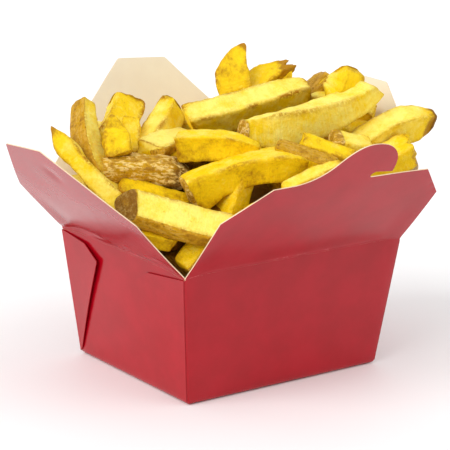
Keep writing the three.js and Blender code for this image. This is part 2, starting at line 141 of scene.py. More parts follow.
class Graph:
    """A shader node tree, written as calls that add a node and wire its inputs."""

    # The colour mix's sockets, by place: its two colours and its result.
    FIRST_COLOUR, SECOND_COLOUR, MIXED = 6, 7, 2

    def __init__(self, tree: bpy.types.NodeTree) -> None:
        """Keeps the tree that the nodes go into."""
        self.tree = tree

    def add(self, kind: str, inputs: dict | None = None, **settings: object) -> bpy.types.Node:
        """Adds a node.

        Args:
            kind: The node's type, without its ShaderNode prefix.
            inputs: Value or socket for each input, by name or place.
            **settings: The node's own properties.

        Returns:
            The node.
        """
        node = self.tree.nodes.new("ShaderNode" + kind)
        for name, value in settings.items():
            setattr(node, name, value)
        for name, value in (inputs or {}).items():
            self.feed(node.inputs[name], value)
        return node

    def feed(self, socket: Socket, value: object) -> None:
        """Links another node's socket to this one, or sets its value.

        Args:
            socket: The input.
            value: The other node's socket, or a plain value.
        """
        if isinstance(value, Socket):
            self.tree.links.new(value, socket)
        else:
            socket.default_value = value

    def math(self, operation: str, first: object, second: object, clamp: bool = False) -> Socket:
        """A Math node's result."""
        return self.add("Math", {0: first, 1: second}, operation=operation, use_clamp=clamp).outputs[0]

    def times(self, first: object, second: object, clamp: bool = False) -> Socket:
        """The product of two values."""
        return self.math("MULTIPLY", first, second, clamp)

    def plus(self, first: object, second: object, clamp: bool = False) -> Socket:
        """The sum of two values."""
        return self.math("ADD", first, second, clamp)

    def off_middle(self, value: object) -> Socket:
        """How far a pattern's value is over its middle, 0.5."""
        return self.math("SUBTRACT", value, 0.5)

    def mix(self, share: object, first: object, second: object) -> Socket:
        """The colour between two others at a share."""
        inputs = {0: share, self.FIRST_COLOUR: first, self.SECOND_COLOUR: second}
        return self.add("Mix", inputs, data_type="RGBA").outputs[self.MIXED]

    def spread(self, value: object, low: float, high: float, to_low: float = 0.0,
               to_high: float = 1.0) -> Socket:
        """A value's range from low to high, eased onto another range."""
        ends = {"Value": value, "From Min": low, "From Max": high, "To Min": to_low, "To Max": to_high}
        return self.add("MapRange", ends, interpolation_type="SMOOTHSTEP").outputs[0]

    def noise(self, vector: object, scale: float, detail: float = 3.0, roughness: float = 0.5) -> Socket:
        """A noise pattern's value from 0 to 1."""
        inputs = {"Vector": vector, "Scale": scale, "Detail": detail, "Roughness": roughness}
        return self.add("TexNoise", inputs).outputs["Fac"]

    def stretched(self, vector: object, scale: Triple) -> Socket:
        """A vector with each of its parts scaled by its own amount."""
        return self.add("Mapping", {"Vector": vector, "Scale": scale}).outputs[0]

    def attribute(self, name: str) -> bpy.types.Node:
        """The node that reads one of the mesh's own attributes."""
        return self.add("Attribute", attribute_name=name)

    def group(self, made: bpy.types.NodeTree, inputs: dict) -> bpy.types.Node:
        """Places a shared node group and wires its inputs.

        Args:
            made: The group's tree.
            inputs: Value or socket for each input, by name.

        Returns:
            The node that holds the group.
        """
        node = self.tree.nodes.new("ShaderNodeGroup")
        node.node_tree = made
        for name, value in inputs.items():
            self.feed(node.inputs[name], value)
        return node


class SharedGroups:
    """The effects that more than one material uses, each a node group built once."""

    def __init__(self) -> None:
        """Builds the groups."""
        self.board_grain = self._board_grain()
        self.fold_wear = self._fold_wear()
        self.fried_mottle = self._fried_mottle()

    @staticmethod
    def _begin(name: str, inputs: dict[str, str],
               outputs: dict[str, str]) -> tuple[Graph, bpy.types.Node, bpy.types.Node]:
        """Starts a group with named sockets.

        Args:
            name: The group's name.
            inputs: Socket type for each input's name.
            outputs: Socket type for each output's name.

        Returns:
            The group's graph, its input node and its output node.
        """
        tree = bpy.data.node_groups.new(name, "ShaderNodeTree")
        for label, kind in inputs.items():
            tree.interface.new_socket(name=label, in_out="INPUT", socket_type="NodeSocket" + kind)
        for label, kind in outputs.items():
            tree.interface.new_socket(name=label, in_out="OUTPUT", socket_type="NodeSocket" + kind)
        return Graph(tree), tree.nodes.new("NodeGroupInput"), tree.nodes.new("NodeGroupOutput")

    def _board_grain(self) -> bpy.types.NodeTree:
        """Paperboard's fibres and its slow unevenness, as a height and a mask.

        Returns:
            The group's tree.
        """
        graph, source, result = self._begin(
            "board_grain",
            {"Vector": "Vector", "Fibre": "Float", "Waviness": "Float"},
            {"Height": "Float", "Mask": "Float"},
        )
        vector = source.outputs["Vector"]
        drawn = graph.stretched(vector, (1.0, 2.6, 1.0))
        fibre = graph.noise(drawn, scale=900.0, detail=4.0, roughness=0.6)
        wave = graph.noise(vector, scale=45.0, detail=2.0)
        fine = graph.times(fibre, source.outputs["Fibre"])
        slow = graph.times(wave, source.outputs["Waviness"])
        graph.feed(result.inputs["Height"], graph.plus(fine, slow))
        graph.feed(result.inputs["Mask"], graph.noise(vector, scale=60.0, detail=5.0, roughness=0.62))
        return graph.tree

    def _fold_wear(self) -> bpy.types.NodeTree:
        """Where folds and edges have lost their coating: a mask from how near they are.

        Returns:
            The group's tree.
        """
        graph, source, result = self._begin(
            "fold_wear", {"Vector": "Vector", "Nearness": "Float", "Amount": "Float"}, {"Mask": "Float"}
        )
        broken = graph.noise(source.outputs["Vector"], scale=1500.0, detail=3.0, roughness=0.7)
        patchy = graph.noise(source.outputs["Vector"], scale=160.0, detail=2.0)
        reach = graph.times(source.outputs["Nearness"], source.outputs["Amount"])
        uneven = graph.times(broken, graph.spread(patchy, low=0.35, high=0.65, to_low=0.35, to_high=1.0))
        graph.feed(result.inputs["Mask"], graph.spread(graph.times(reach, uneven), low=0.22, high=0.5))
        return graph.tree

    def _fried_mottle(self) -> bpy.types.NodeTree:
        """Fried potato's uneven colour: slow patches, flecks, streaks along it and scores across it.

        Returns:
            The group's tree.
        """
        graph, source, result = self._begin(
            "fried_mottle",
            {"Vector": "Vector", "Coarseness": "Float"},
            {"Patches": "Float", "Flecks": "Float", "Streaks": "Float", "Scores": "Float"},
        )
        sized = graph.add("VectorMath", {0: source.outputs["Vector"]}, operation="SCALE")
        graph.feed(sized.inputs["Scale"], source.outputs["Coarseness"])
        vector = sized.outputs[0]
        along = graph.stretched(vector, (0.28, 0.8, 0.8))
        across = graph.stretched(vector, (1.1, 0.09, 0.09))
        graph.feed(result.inputs["Patches"], graph.noise(vector, scale=0.2, detail=4.0, roughness=0.62))
        graph.feed(result.inputs["Flecks"], graph.noise(vector, scale=0.75, detail=4.0, roughness=0.68))
        graph.feed(result.inputs["Streaks"], graph.noise(along, scale=1.0, detail=3.0, roughness=0.6))
        graph.feed(result.inputs["Scores"], graph.noise(across, scale=1.0, detail=2.0, roughness=0.5))
        return graph.tree


# ---------------- finishes

# What a fry's mesh says at each point for its finish to read.
# The tone mask holds how deeply the potato is fried and also painted shade.
FRY_MASKS = ("skin", "edge", "tone", "score", "flaky")


def opaque(colour: Triple) -> tuple[float, float, float, float]:
    """A colour as the shaders take it, with nothing showing through."""
    return (*colour, 1.0)


def new_material(name: str) -> tuple[bpy.types.Material, Graph, bpy.types.Node]:
    """Starts a material.

    Args:
        name: Its name.

    Returns:
        The material, its graph and its shader.
    """
    made = bpy.data.materials.new(name)
    made.use_nodes = True
    return made, Graph(made.node_tree), made.node_tree.nodes["Principled BSDF"]


@dataclass(frozen=True)
class BoardFinish:
    """The finish of one side of the paperboard.

    Attributes:
        name: The material's name.
        deep: The colour where the coating is thickest.
        light: The colour where it is thinnest.
        worn: The colour that shows where folds have cracked it.
        roughness: Roughness between folds.
        wear: How far the cracks spread.
        fibre: How strongly the fibres stand out.
        waviness: How uneven the surface is.
        shine: How strongly the surface reflects.
        thin: The grain's values between which the coating thins.
        evenness: The least and most roughness, as shares of it.
        worn_roughness: How much rougher the cracks are.
        relief: The relief's height in metres.
    """

    name: str
    deep: Triple
    light: Triple
    worn: Triple
    roughness: float
    wear: float
    fibre: float
    waviness: float
    shine: float = 0.5
    thin: Pair = (0.3, 0.7)
    evenness: Pair = (0.85, 1.15)
    worn_roughness: float = 0.25
    bump: float = 0.2
    relief: float = 0.0003

    def material(self, groups: SharedGroups) -> bpy.types.Material:
        """Builds the material.

        Args:
            groups: The shared node groups.

        Returns:
            The material.
        """
        made, graph, shader = new_material(self.name)
        place = graph.add("TexCoord").outputs["Object"]
        inputs = {"Vector": place, "Fibre": self.fibre, "Waviness": self.waviness}
        grain = graph.group(groups.board_grain, inputs).outputs
        nearness = graph.attribute("fold").outputs["Fac"]
        inputs = {"Vector": place, "Nearness": nearness, "Amount": self.wear}
        cracks = graph.group(groups.fold_wear, inputs).outputs["Mask"]
        thinned = graph.spread(grain["Mask"], *self.thin)
        colour = graph.mix(thinned, opaque(self.deep), opaque(self.light))
        colour = graph.mix(cracks, colour, opaque(self.worn))
        least, most = (self.roughness * share for share in self.evenness)
        rough = graph.spread(grain["Mask"], 0.25, 0.75, least, most)
        rough = graph.plus(rough, graph.times(cracks, self.worn_roughness), clamp=True)
        inputs = {"Strength": self.bump, "Distance": self.relief, "Height": grain["Height"]}
        graph.feed(shader.inputs["Base Color"], colour)
        graph.feed(shader.inputs["Roughness"], rough)
        graph.feed(shader.inputs["Normal"], graph.add("Bump", inputs).outputs[0])
        shader.inputs["Specular IOR Level"].default_value = self.shine
        return made


@dataclass(frozen=True)
class FriedFinish:
    """The finish of fried potato.

    Attributes:
        name: The material's name.
        pale: The driest cut faces.
        gold: Cut faces that took more colour.
        brown: Where it is overdone, and where the tone holds deep painted shade.
        amber: The crisp edges and freckles.
        skin: The potato's skin.
        ochre: The lighter patches of the skin.
        flake: The pale, papery flakes on the skin.
        spot: The darkest specks.
        roughness: The least and most roughness.
        relief: The small relief's height in metres.
        glow: How much of the light goes into the flesh.
        glow_reach: How far each of its colours goes, as shares.
        glow_depth: How far it goes in metres.
        scoring: How far the knife's strokes change it.
        levelling: What brings these changes back to about nothing.
        overdone: The tones between which the flesh turns brown, from overdoing and from painted shade.
        border: The mask's values between which flesh turns to skin.
    """

    name: str
    pale: Triple = (0.98, 0.82, 0.17)
    gold: Triple = (0.91, 0.61, 0.004)
    brown: Triple = (0.42, 0.20, 0.003)
    amber: Triple = (0.42, 0.19, 0.004)
    skin: Triple = (0.40, 0.19, 0.005)
    ochre: Triple = (0.57, 0.30, 0.004)
    flake: Triple = (0.84, 0.60, 0.20)
    spot: Triple = (0.17, 0.065, 0.003)
    shine: float = 0.14
    roughness: Pair = (0.34, 0.6)
    bump: float = 0.7
    relief: float = 0.001
    glow: float = 0.15
    glow_reach: Triple = (1.0, 0.6, 0.1)
    glow_depth: float = 0.002
    patchiness: float = 2.0
    flecking: float = 0.9
    scoring: float = 0.8
    levelling: float = 1.35
    overdone: Pair = (1.1, 2.2)
    crispness: float = 0.9
    fraying: float = 0.9
    border: Pair = (0.4, 0.62)

    def material(self, groups: SharedGroups) -> bpy.types.Material:
        """Builds the material.

        Args:
            groups: The shared node groups.

        Returns:
            The material.
        """
        made, graph, shader = new_material(self.name)
        mask = {name: graph.attribute(name).outputs["Fac"] for name in FRY_MASKS}
        place = graph.attribute("local").outputs["Vector"]
        mottle = graph.group(groups.fried_mottle, {"Vector": place, "Coarseness": 1.0}).outputs
        frayed = graph.times(graph.off_middle(mottle["Flecks"]), self.fraying)
        barked = graph.spread(graph.plus(mask["skin"], frayed), *self.border)
        colour = graph.mix(barked, self._flesh(graph, mask, mottle), self._bark(graph, mask, mottle))

        height = graph.times(mottle["Flecks"], 0.8)
        height = graph.plus(height, graph.times(mottle["Scores"], 0.35))
        height = graph.plus(height, graph.times(graph.times(mottle["Streaks"], barked), 1.1))
        inputs = {"Strength": self.bump, "Distance": self.relief, "Height": height}
        graph.feed(shader.inputs["Base Color"], colour)
        graph.feed(shader.inputs["Roughness"], graph.spread(mottle["Flecks"], 0.25, 0.75, *self.roughness))
        graph.feed(shader.inputs["Normal"], graph.add("Bump", inputs).outputs[0])
        shader.inputs["Specular IOR Level"].default_value = self.shine
        shader.inputs["Subsurface Weight"].default_value = self.glow
        shader.inputs["Subsurface Radius"].default_value = self.glow_reach
        shader.inputs["Subsurface Scale"].default_value = self.glow_depth
        return made

    def _flesh(self, graph: Graph, mask: dict, mottle: bpy.types.NodeOutputs) -> Socket:
        """The colour of the cut faces.

        Args:
            graph: The material's graph.
            mask: The mesh's masks by name.
            mottle: The shared mottling's outputs by name.

        Returns:
            The colour.
        """
        patches, flecks = mottle["Patches"], mottle["Flecks"]
        amber = opaque(self.amber)
        uneven = graph.plus(graph.times(patches, self.patchiness), graph.times(flecks, self.flecking))
        strokes = graph.times(graph.off_middle(mottle["Scores"]), mask["score"])
        uneven = graph.plus(uneven, graph.times(strokes, self.scoring))
        depth = graph.plus(mask["tone"], graph.math("SUBTRACT", uneven, self.levelling))
        colour = graph.mix(graph.times(depth, 1.0, clamp=True), opaque(self.pale), opaque(self.gold))
        # Deep tones turn brown: overdone places and painted shade.
        colour = graph.mix(graph.spread(depth, *self.overdone), colour, opaque(self.brown))
        crisp = graph.times(mask["edge"], graph.spread(flecks, 0.34, 0.56, to_low=0.3, to_high=1.25))
        colour = graph.mix(graph.times(crisp, self.crispness, clamp=True), colour, amber)
        crowded = graph.spread(patches, 0.46, 0.6, to_high=0.75)
        return graph.mix(graph.times(graph.spread(flecks, 0.63, 0.72), crowded), colour, amber)

    def _bark(self, graph: Graph, mask: dict, mottle: bpy.types.NodeOutputs) -> Socket:
        """The colour of the skin.

        Args:
            graph: The material's graph.
            mask: The mesh's masks by name.
            mottle: The shared mottling's outputs by name.

        Returns:
            The colour.
        """
        patches, spot = mottle["Patches"], opaque(self.spot)
        colour = graph.mix(graph.spread(patches, 0.36, 0.52), opaque(self.skin), opaque(self.ochre))
        # Deep tones, which include painted shade, darken the skin towards the specks' colour.
        colour = graph.mix(graph.spread(mask["tone"], 1.1, 2.1, to_high=0.85), colour, spot)
        torn = graph.times(graph.spread(mottle["Streaks"], 0.42, 0.56), mask["flaky"])
        papery = graph.times(torn, graph.spread(patches, 0.46, 0.54, to_low=0.15))
        colour = graph.mix(papery, colour, opaque(self.flake))
        return graph.mix(graph.spread(mottle["Flecks"], 0.56, 0.68, to_high=0.7), colour, spot)


@dataclass(frozen=True)
class FloorFinish:
    """A plain pale floor."""

    name: str = "pale_floor"
    colour: Triple = (0.96, 0.96, 0.96)
    roughness: float = 0.6
    shine: float = 0.2

    def material(self) -> bpy.types.Material:
        """Builds the material.

        Returns:
            The material.
        """
        made, _, shader = new_material(self.name)
        shader.inputs["Base Color"].default_value = opaque(self.colour)
        shader.inputs["Roughness"].default_value = self.roughness
        shader.inputs["Specular IOR Level"].default_value = self.shine
        return made


RED_COAT = BoardFinish(
    name="red_coated_board", deep=(0.36, 0.0006, 0.007), light=(0.42, 0.001, 0.010), worn=(0.66, 0.12, 0.13),
    roughness=0.2, wear=0.8, fibre=0.04, waviness=0.15, shine=0.38,
)
CREAM_SIDE = BoardFinish(
    name="cream_board", deep=(0.92, 0.82, 0.64), light=(0.95, 0.86, 0.68), worn=(0.90, 0.80, 0.62),
    roughness=0.62, wear=0.3, fibre=0.8, waviness=0.4,
)
CUT_EDGE = BoardFinish(
    name="board_cut_edge", deep=(0.72, 0.50, 0.31), light=(0.86, 0.68, 0.47), worn=(0.86, 0.72, 0.54),
    roughness=0.8, wear=0.2, fibre=1.0, waviness=0.0,
)
FRIED = FriedFinish("fried_potato")
SKIN_ON = FriedFinish("fried_potato_skin_on")
# Painted shade: a darker copy of the fried finish for the fries and the core deep in the heap.
PAINTED_SHADE_UNDER = FriedFinish(
    "fried_potato_under_painted_shade", pale=(0.90, 0.70, 0.09), gold=(0.72, 0.43, 0.004), brown=(0.21, 0.088, 0.003)
)


# ---------------- pieces


def cut_through(bm: bmesh.types.BMesh, axis: Vector, offsets: Iterable[float]) -> None:
    """Cuts a mesh by planes square to an axis.

    Args:
        bm: The mesh.
        axis: The planes' normal.
        offsets: Each plane's distance along the axis.
    """
    for offset in offsets:
        geom = bm.verts[:] + bm.edges[:] + bm.faces[:]
        bmesh.ops.bisect_plane(bm, geom=geom, dist=1e-4, plane_co=axis * offset, plane_no=axis)


def evenly(low: float, high: float, spacing: float) -> Array:
    """Places between low and high, about a spacing apart, without the two ends."""
    return np.linspace(low, high, max(2, round((high - low) / spacing) + 1))[1:-1]


def round_off(bm: bmesh.types.BMesh, geom: list, radius: float, affect: str = "EDGES") -> None:
    """Rounds edges or corners to a radius."""
    bmesh.ops.bevel(
        bm, geom=geom, offset=radius, offset_type="OFFSET", segments=4, profile=0.5,
        affect=affect, material=-1, clamp_overlap=True,
    )


def split_large_faces(bm: bmesh.types.BMesh) -> None:
    """Cuts faces of more than four sides into triangles."""
    bmesh.ops.triangulate(bm, faces=[face for face in bm.faces if len(face.verts) > 4])


def mesh_of(name: str, bm: bmesh.types.BMesh) -> bpy.types.Mesh:
    """Turns a BMesh into a mesh.

    Args:
        name: The mesh's name.
        bm: What it is made from. It is freed.

    Returns:
        The mesh.
    """
    mesh = bpy.data.meshes.new(name)
    bm.to_mesh(mesh)
    bm.free()
    return mesh


def linked(name: str, data: bpy.types.ID) -> bpy.types.Object:
    """Makes an object of a mesh, light or camera and puts it in the scene.

    Args:
        name: The object's name.
        data: What it shows.

    Returns:
        The object, at the origin.
    """
    made = bpy.data.objects.new(name, data)
    bpy.context.scene.collection.objects.link(made)
    return made


def face_outwards(bm: bmesh.types.BMesh, outward: Callable[[Vector], Vector]) -> None:
    """Turns an open sheet's faces so that they look outwards.

    Args:
        bm: The sheet.
        outward: Gives the outward direction at a place.
    """
    bmesh.ops.recalc_face_normals(bm, faces=bm.faces)
    bm.normal_update()
    if sum(face.normal.dot(outward(face.calc_center_median())) for face in bm.faces) < 0:
        bmesh.ops.reverse_faces(bm, faces=bm.faces)


def set_attribute(mesh: bpy.types.Mesh, name: str, values: Array) -> None:
    """Stores a number or a vector for each vertex.

    Args:
        mesh: The mesh.
        name: The attribute's name.
        values: One number, or one row of three, for each vertex.
    """
    is_vector = np.ndim(values) == 2
    made = mesh.attributes.new(name, "FLOAT_VECTOR" if is_vector else "FLOAT", "POINT")
    made.data.foreach_set("vector" if is_vector else "value", np.asarray(values, np.float32).ravel())


def coordinates(mesh: bpy.types.Mesh) -> Array:
    """A mesh's vertices.

    Args:
        mesh: The mesh.

    Returns:
        Their places as rows.
    """
    found = np.empty(len(mesh.vertices) * 3, np.float32)
    mesh.vertices.foreach_get("co", found)
    return found.reshape(-1, 3).astype(float)


def object_of(name: str, mesh: bpy.types.Mesh, materials: Sequence[bpy.types.Material]) -> bpy.types.Object:
    """Makes a smooth-shaded object of a mesh in millimetres, turned into metres.

    Args:
        name: The piece's name.
        mesh: Its mesh.
        materials: Its materials, in the order of the faces' material indices.

    Returns:
        The object, at the origin.
    """
    mesh.transform(Matrix.Scale(MM, 4))
    for material in materials:
        mesh.materials.append(material)
    mesh.shade_smooth()
    return linked(name, mesh)


@dataclass
class Board:
    """What all the carton's pieces are made of: coated board with a bare inside.

    Attributes:
        thickness: How thick it is.
        crease_angle: The least angle in degrees at which it shows a sharp crease.
        outside: The coated side's material.
        inside: The bare side's material.
        edge: The material of its cut edges.
    """

    # The places of the three materials in each piece.
    OUTSIDE, INSIDE, EDGE = 0, 1, 2

    thickness: float = 0.5
    crease_angle: float = 40.0
    outside: bpy.types.Material | None = None
    inside: bpy.types.Material | None = None
    edge: bpy.types.Material | None = None

    def dress(self, groups: SharedGroups) -> None:
        """Builds the three materials."""
        self.outside = RED_COAT.material(groups)
        self.inside = CREAM_SIDE.material(groups)
        self.edge = CUT_EDGE.material(groups)

    def piece(self, name: str, bm: bmesh.types.BMesh, fold: Array,
              folded: bool = False) -> bpy.types.Object:
        """Makes a piece of board from the mesh of its outer face.

        Args:
            name: The piece's name.
            bm: The outer face, in millimetres, its normals outwards. It is freed.
            fold: Each vertex's nearness to a fold or edge, from 0 to 1.
            folded: Whether it is folded double, so that only its coated side and no cut edge shows.

        Returns:
            The object.
        """
        near = bm.verts.layers.float.new("fold")
        inward = bm.verts.layers.float_vector.new("inward")
        bm.normal_update()
        for vert, value in zip(bm.verts, fold):
            vert[near] = value
            vert[inward] = vert.normal * (-self.thickness * vert.calc_shell_factor())
        made = bmesh.ops.extrude_face_region(bm, geom=bm.faces[:], use_keep_orig=True)["geom"]
        inner_faces = {part for part in made if isinstance(part, bmesh.types.BMFace)}
        inner_verts = {part for part in made if isinstance(part, bmesh.types.BMVert)}
        for vert in inner_verts:
            vert.co += vert[inward]
        for face in bm.faces:
            if folded or not inner_verts.intersection(face.verts):
                face.material_index = self.OUTSIDE
            else:
                face.material_index = self.INSIDE if face in inner_faces else self.EDGE
        bm.verts.layers.float_vector.remove(inward)
        bmesh.ops.recalc_face_normals(bm, faces=bm.faces)
        mesh = mesh_of(name, bm)
        piece = object_of(name, mesh, [self.outside, self.inside, self.edge])
        mesh.set_sharp_from_angle(angle=math.radians(self.crease_angle))
        return piece


# ---------------- carton


@dataclass
class CartonShape:
    """The tapered tray: its sizes, and where its walls are.

    Attributes:
        crease_gap: How far under its crease line a wall ends and its flap begins.
        rise: How far the board over a crease stands above the straight line.
        rise_within: How far from the corners it has risen.
        wall_zone: The shares of the half width between which points come to lie on a wall.
        rim_zone: The share of the half width from which points rise with the crease.
        rim_level: The share of the height from which they do.
        rim: The rim's length and width, read from the flaps' hinges, which lie on the creases.
        height: The rim's height, read from them too.
    """

    base: Pair = (112.0, 90.0)
    corner: float = 0.9
    base_round: float = 2.4
    crease_gap: float = 0.8
    rise: float = 1.5
    rise_within: float = 16.0
    bulge: float = 0.7
    unevenness: float = 0.25
    uneven_grain: float = 24.0
    wall_zone: Pair = (0.94, 0.995)
    rim_zone: float = 0.9
    rim_level: float = 0.45
    rim: Pair = (0.0, 0.0)
    height: float = 0.0

    def __post_init__(self) -> None:
        """Reads the rim from the hinges."""
        hinge = {joint["name"]: joint["pos_m"] for joint in frame["joints"]}
        self.rim = (2 * hinge["right_crease"][0] / MM, 2 * hinge["back_crease"][1] / MM)
        self.height = hinge["back_crease"][2] / MM

    def slope(self, axis: int) -> float:
        """How far the walls across an axis flare outwards for each millimetre of height."""
        return (self.rim[axis] - self.base[axis]) / 2 / self.height

    def half(self, axis: int, z: Array | float) -> Array | float:
        """The carton's half width along an axis at height z."""
        return self.base[axis] / 2 + self.slope(axis) * z

    def belly(self, z: Array | float) -> Array | float:
        """How far a wall's middle bulges outwards at height z."""
        return np.sin(math.pi * np.clip(np.asarray(z) / self.height, 0, 1)) * self.bulge

    def lift(self, along: Array, length: float) -> Array:
        """How far the board stands above its straight crease line.

        Args:
            along: Distance from the crease's middle.
            length: The crease's length.

        Returns:
            The lift, nothing at the corners.
        """
        return self.rise * smoothstep(0.0, self.rise_within, length / 2 - np.abs(along))

    def settle(self, points: Array) -> Array:
        """Shapes a straight box's points into the carton: its taper, bulging walls and lifted creases.

        Args:
            points: Rows of x, y and z on the box of the base's size.

        Returns:
            The shaped rows.
        """
        z = points[:, 2]
        out = points.copy()
        reach = [np.abs(points[:, axis]) / (self.base[axis] / 2) for axis in (0, 1)]
        push = self.belly(z) * (1 + self.unevenness * smooth_noise(points, self.uneven_grain, 3))
        for axis, side in enumerate(points.T[:2]):
            on_wall = (1 - reach[1 - axis] ** 2) * smoothstep(*self.wall_zone, reach[axis])
            flare = 1 + self.slope(axis) * z / (self.base[axis] / 2)
            out[:, axis] = side * flare + np.sign(side) * on_wall * push
        lift = [
            smoothstep(self.rim_zone, 1.0, reach[axis]) * self.lift(out[:, 1 - axis], self.rim[1 - axis])
            for axis in (0, 1)
        ]
        out[:, 2] = z + smoothstep(self.rim_level, 1.0, z / self.height) * np.maximum(*lift)
        return out


# The free edges of the two kinds of corner web: distance along the wall from its middle, and height.
STRAIGHT_WEB = [(30.0, 61.0), (19.0, 54.5), (42.5, 4.0)]
CURVED_WEB = [(21.5, 59.5), (10.5, 52.7), (15.5, 43.0), (23.5, 27.5), (35.5, 11.0)]


@dataclass
class Tray:
    """The carton below its creases: walls, base and the folded corner webs on the short walls.

    Attributes:
        margin: How far from their edges the walls aren't cut.
        web_lift: How far a web with a straight edge stands off its wall.
        flat_lift: How far one with a curved edge does.
        web_gap: The gap between a web and its wall where it lies flat.
        web_inner: How far from the wall's middle its free corners lie at most.
        opening: How far in from the wall's upright edge a web has opened, at its foot.
        opening_rise: How much further in that is for each millimetre of height.
        opening_power: How late it opens.
    """

    shape: CartonShape
    board: Board
    spacing: float = 2.6
    margin: float = 2.4
    corner_wear: float = 0.55
    corner_reach: float = 1.6
    base_wear: float = 0.5
    base_reach: float = 2.0
    web_lift: float = 1.7
    flat_lift: float = 0.25
    web_gap: float = 0.1
    web_inset: float = 0.6
    web_foot: float = 1.6
    web_top: float = 1.0
    web_round: float = 1.0
    web_inner: float = 30.0
    web_spacing: Pair = (2.0, 3.0)
    opening: float = 10.0
    opening_rise: float = 0.5
    opening_power: float = 1.4

    def walls(self) -> bpy.types.Object:
        """Builds the walls and base as one folded sheet.

        Returns:
            The piece.
        """
        shape = self.shape
        top = shape.height - shape.crease_gap
        bm = bmesh.new()
        bmesh.ops.create_cube(bm, size=2.0)
        bmesh.ops.scale(bm, vec=(shape.base[0] / 2, shape.base[1] / 2, top / 2), verts=bm.verts)
        bmesh.ops.translate(bm, vec=(0, 0, top / 2), verts=bm.verts)
        upper = [face for face in bm.faces if face.normal.z > 0.5]
        bmesh.ops.delete(bm, geom=upper, context="FACES_ONLY")
        low = [edge for edge in bm.edges if max(vert.co.z for vert in edge.verts) < top / 2]
        round_off(bm, low, shape.base_round)
        upright = [edge for edge in bm.edges if abs(edge.verts[0].co.z - edge.verts[1].co.z) > top / 2]
        round_off(bm, upright, shape.corner)
        for axis, reach in ((Vector((1, 0, 0)), shape.base[0] / 2), (Vector((0, 1, 0)), shape.base[1] / 2)):
            cut_through(bm, axis, evenly(-reach + self.margin, reach - self.margin, self.spacing))
        cut_through(bm, Vector((0, 0, 1)), evenly(self.margin, top, self.spacing))
        placed = shape.settle(np.array([vert.co for vert in bm.verts]))
        for vert, place in zip(bm.verts, placed):
            vert.co = place
        middle = Vector((0, 0, top / 2))
        face_outwards(bm, lambda place: place - middle)
        return self.board.piece("carton_walls", bm, self._fold_of_walls(placed))

    def _fold_of_walls(self, points: Array) -> Array:
        """Nearness to the upright corners and to the base's edges.

        Args:
            points: Rows of x, y and z on the walls.

        Returns:
            One value for each point, from 0 to 1.
        """
        x, y, z = points.T
        from_corner = np.hypot(self.shape.half(0, z) - np.abs(x), self.shape.half(1, z) - np.abs(y))
        corner = self.corner_wear * np.clip(1.0 - from_corner / self.corner_reach, 0.0, 1.0)
        base = self.base_wear * np.clip(1.0 - np.abs(z) / self.base_reach, 0.0, 1.0)
        return np.maximum(corner, base)

    def web(self, name: str, outline: Sequence[Pair], sign_x: int, sign_y: int,
            lift: float) -> bpy.types.Object:
        """Builds one corner web, the board between two walls folded flat on the short wall.

        Args:
            name: The piece's name.
            outline: Its free edge, as distance along the wall from the middle and height.
            sign_x: Which short wall it is on.
            sign_y: Which end of that wall.
            lift: How far its free edge stands off the wall.

        Returns:
            The piece.
        """
        shape = self.shape
        foot, top = self.web_foot, shape.height - self.web_top
        corner = [(shape.half(1, z) - self.web_inset, z) for z in (foot, top)]
        bm = bmesh.new()
        bm.faces.new([bm.verts.new((0, along, z)) for along, z in [*corner, *outline]])
        round_off(bm, [vert for vert in bm.verts if vert.co.y < self.web_inner], self.web_round, "VERTICES")
        innermost = min(along for along, _ in outline)
        cut_through(bm, Vector((0, 1, 0)), evenly(innermost, corner[1][0], self.web_spacing[0]))
        cut_through(bm, Vector((0, 0, 1)), evenly(foot, top, self.web_spacing[1]))
        split_large_faces(bm)
        for vert in bm.verts:
            along, z = vert.co.y, vert.co.z
            wide = self.opening + self.opening_rise * z
            opened = min(1.0, max(0.0, (shape.half(1, z) - along) / wide))
            belly = float(shape.belly(z)) * (1 - (along / shape.half(1, z)) ** 2)
            lying = shape.half(0, z) + belly + self.board.thickness + self.web_gap
            vert.co = (sign_x * (lying + lift * opened**self.opening_power), sign_y * along, z)
        face_outwards(bm, lambda place: Vector((sign_x, 0, 0)))
        return self.board.piece(name, bm, np.zeros(len(bm.verts)), folded=True)

    def build(self) -> list[bpy.types.Object]:
        """Builds the tray and makes it stand for the solid carton.

        Returns:
            Its pieces.
        """
        walls = self.walls()
        pieces = [
            walls,
            self.web("web_left_back", STRAIGHT_WEB, -1, 1, self.web_lift),
            self.web("web_left_front", CURVED_WEB, -1, -1, self.flat_lift),
            self.web("web_right_front", STRAIGHT_WEB, 1, -1, self.web_lift),
            self.web("web_right_back", CURVED_WEB, 1, 1, self.flat_lift),
        ]
        for piece in pieces:
            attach(piece, "tray")
            LOG.info("carton piece %s", piece.name)
        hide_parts("carton")
        return pieces


# ---------------- lid flaps


@dataclass(frozen=True)
class Dent:
    """A crinkle pressed into a flap.

    Attributes:
        along: Its middle, from the flap's left end as drawn.
        up: Its middle, up the flap.
        length: Its half length.
        width: Its half width.
        depth: How deep it is; a negative one stands out.
        turn: Its slant in degrees.
    """

    along: float
    up: float
    length: float
    width: float
    depth: float
    turn: float = 0.0

    def pressed(self, along: Array, up: Array) -> Array:
        """How deep it presses.

        Args:
            along: Each point's distance along the crease.
            up: Each point's distance up the flap.

        Returns:
            The depth at each point.
        """
        turn = math.radians(self.turn)
        lengthwise = (along - self.along) * math.cos(turn) + (up - self.up) * math.sin(turn)
        crosswise = -(along - self.along) * math.sin(turn) + (up - self.up) * math.cos(turn)
        return self.depth * np.exp(-((lengthwise / self.length) ** 2) - (crosswise / self.width) ** 2)


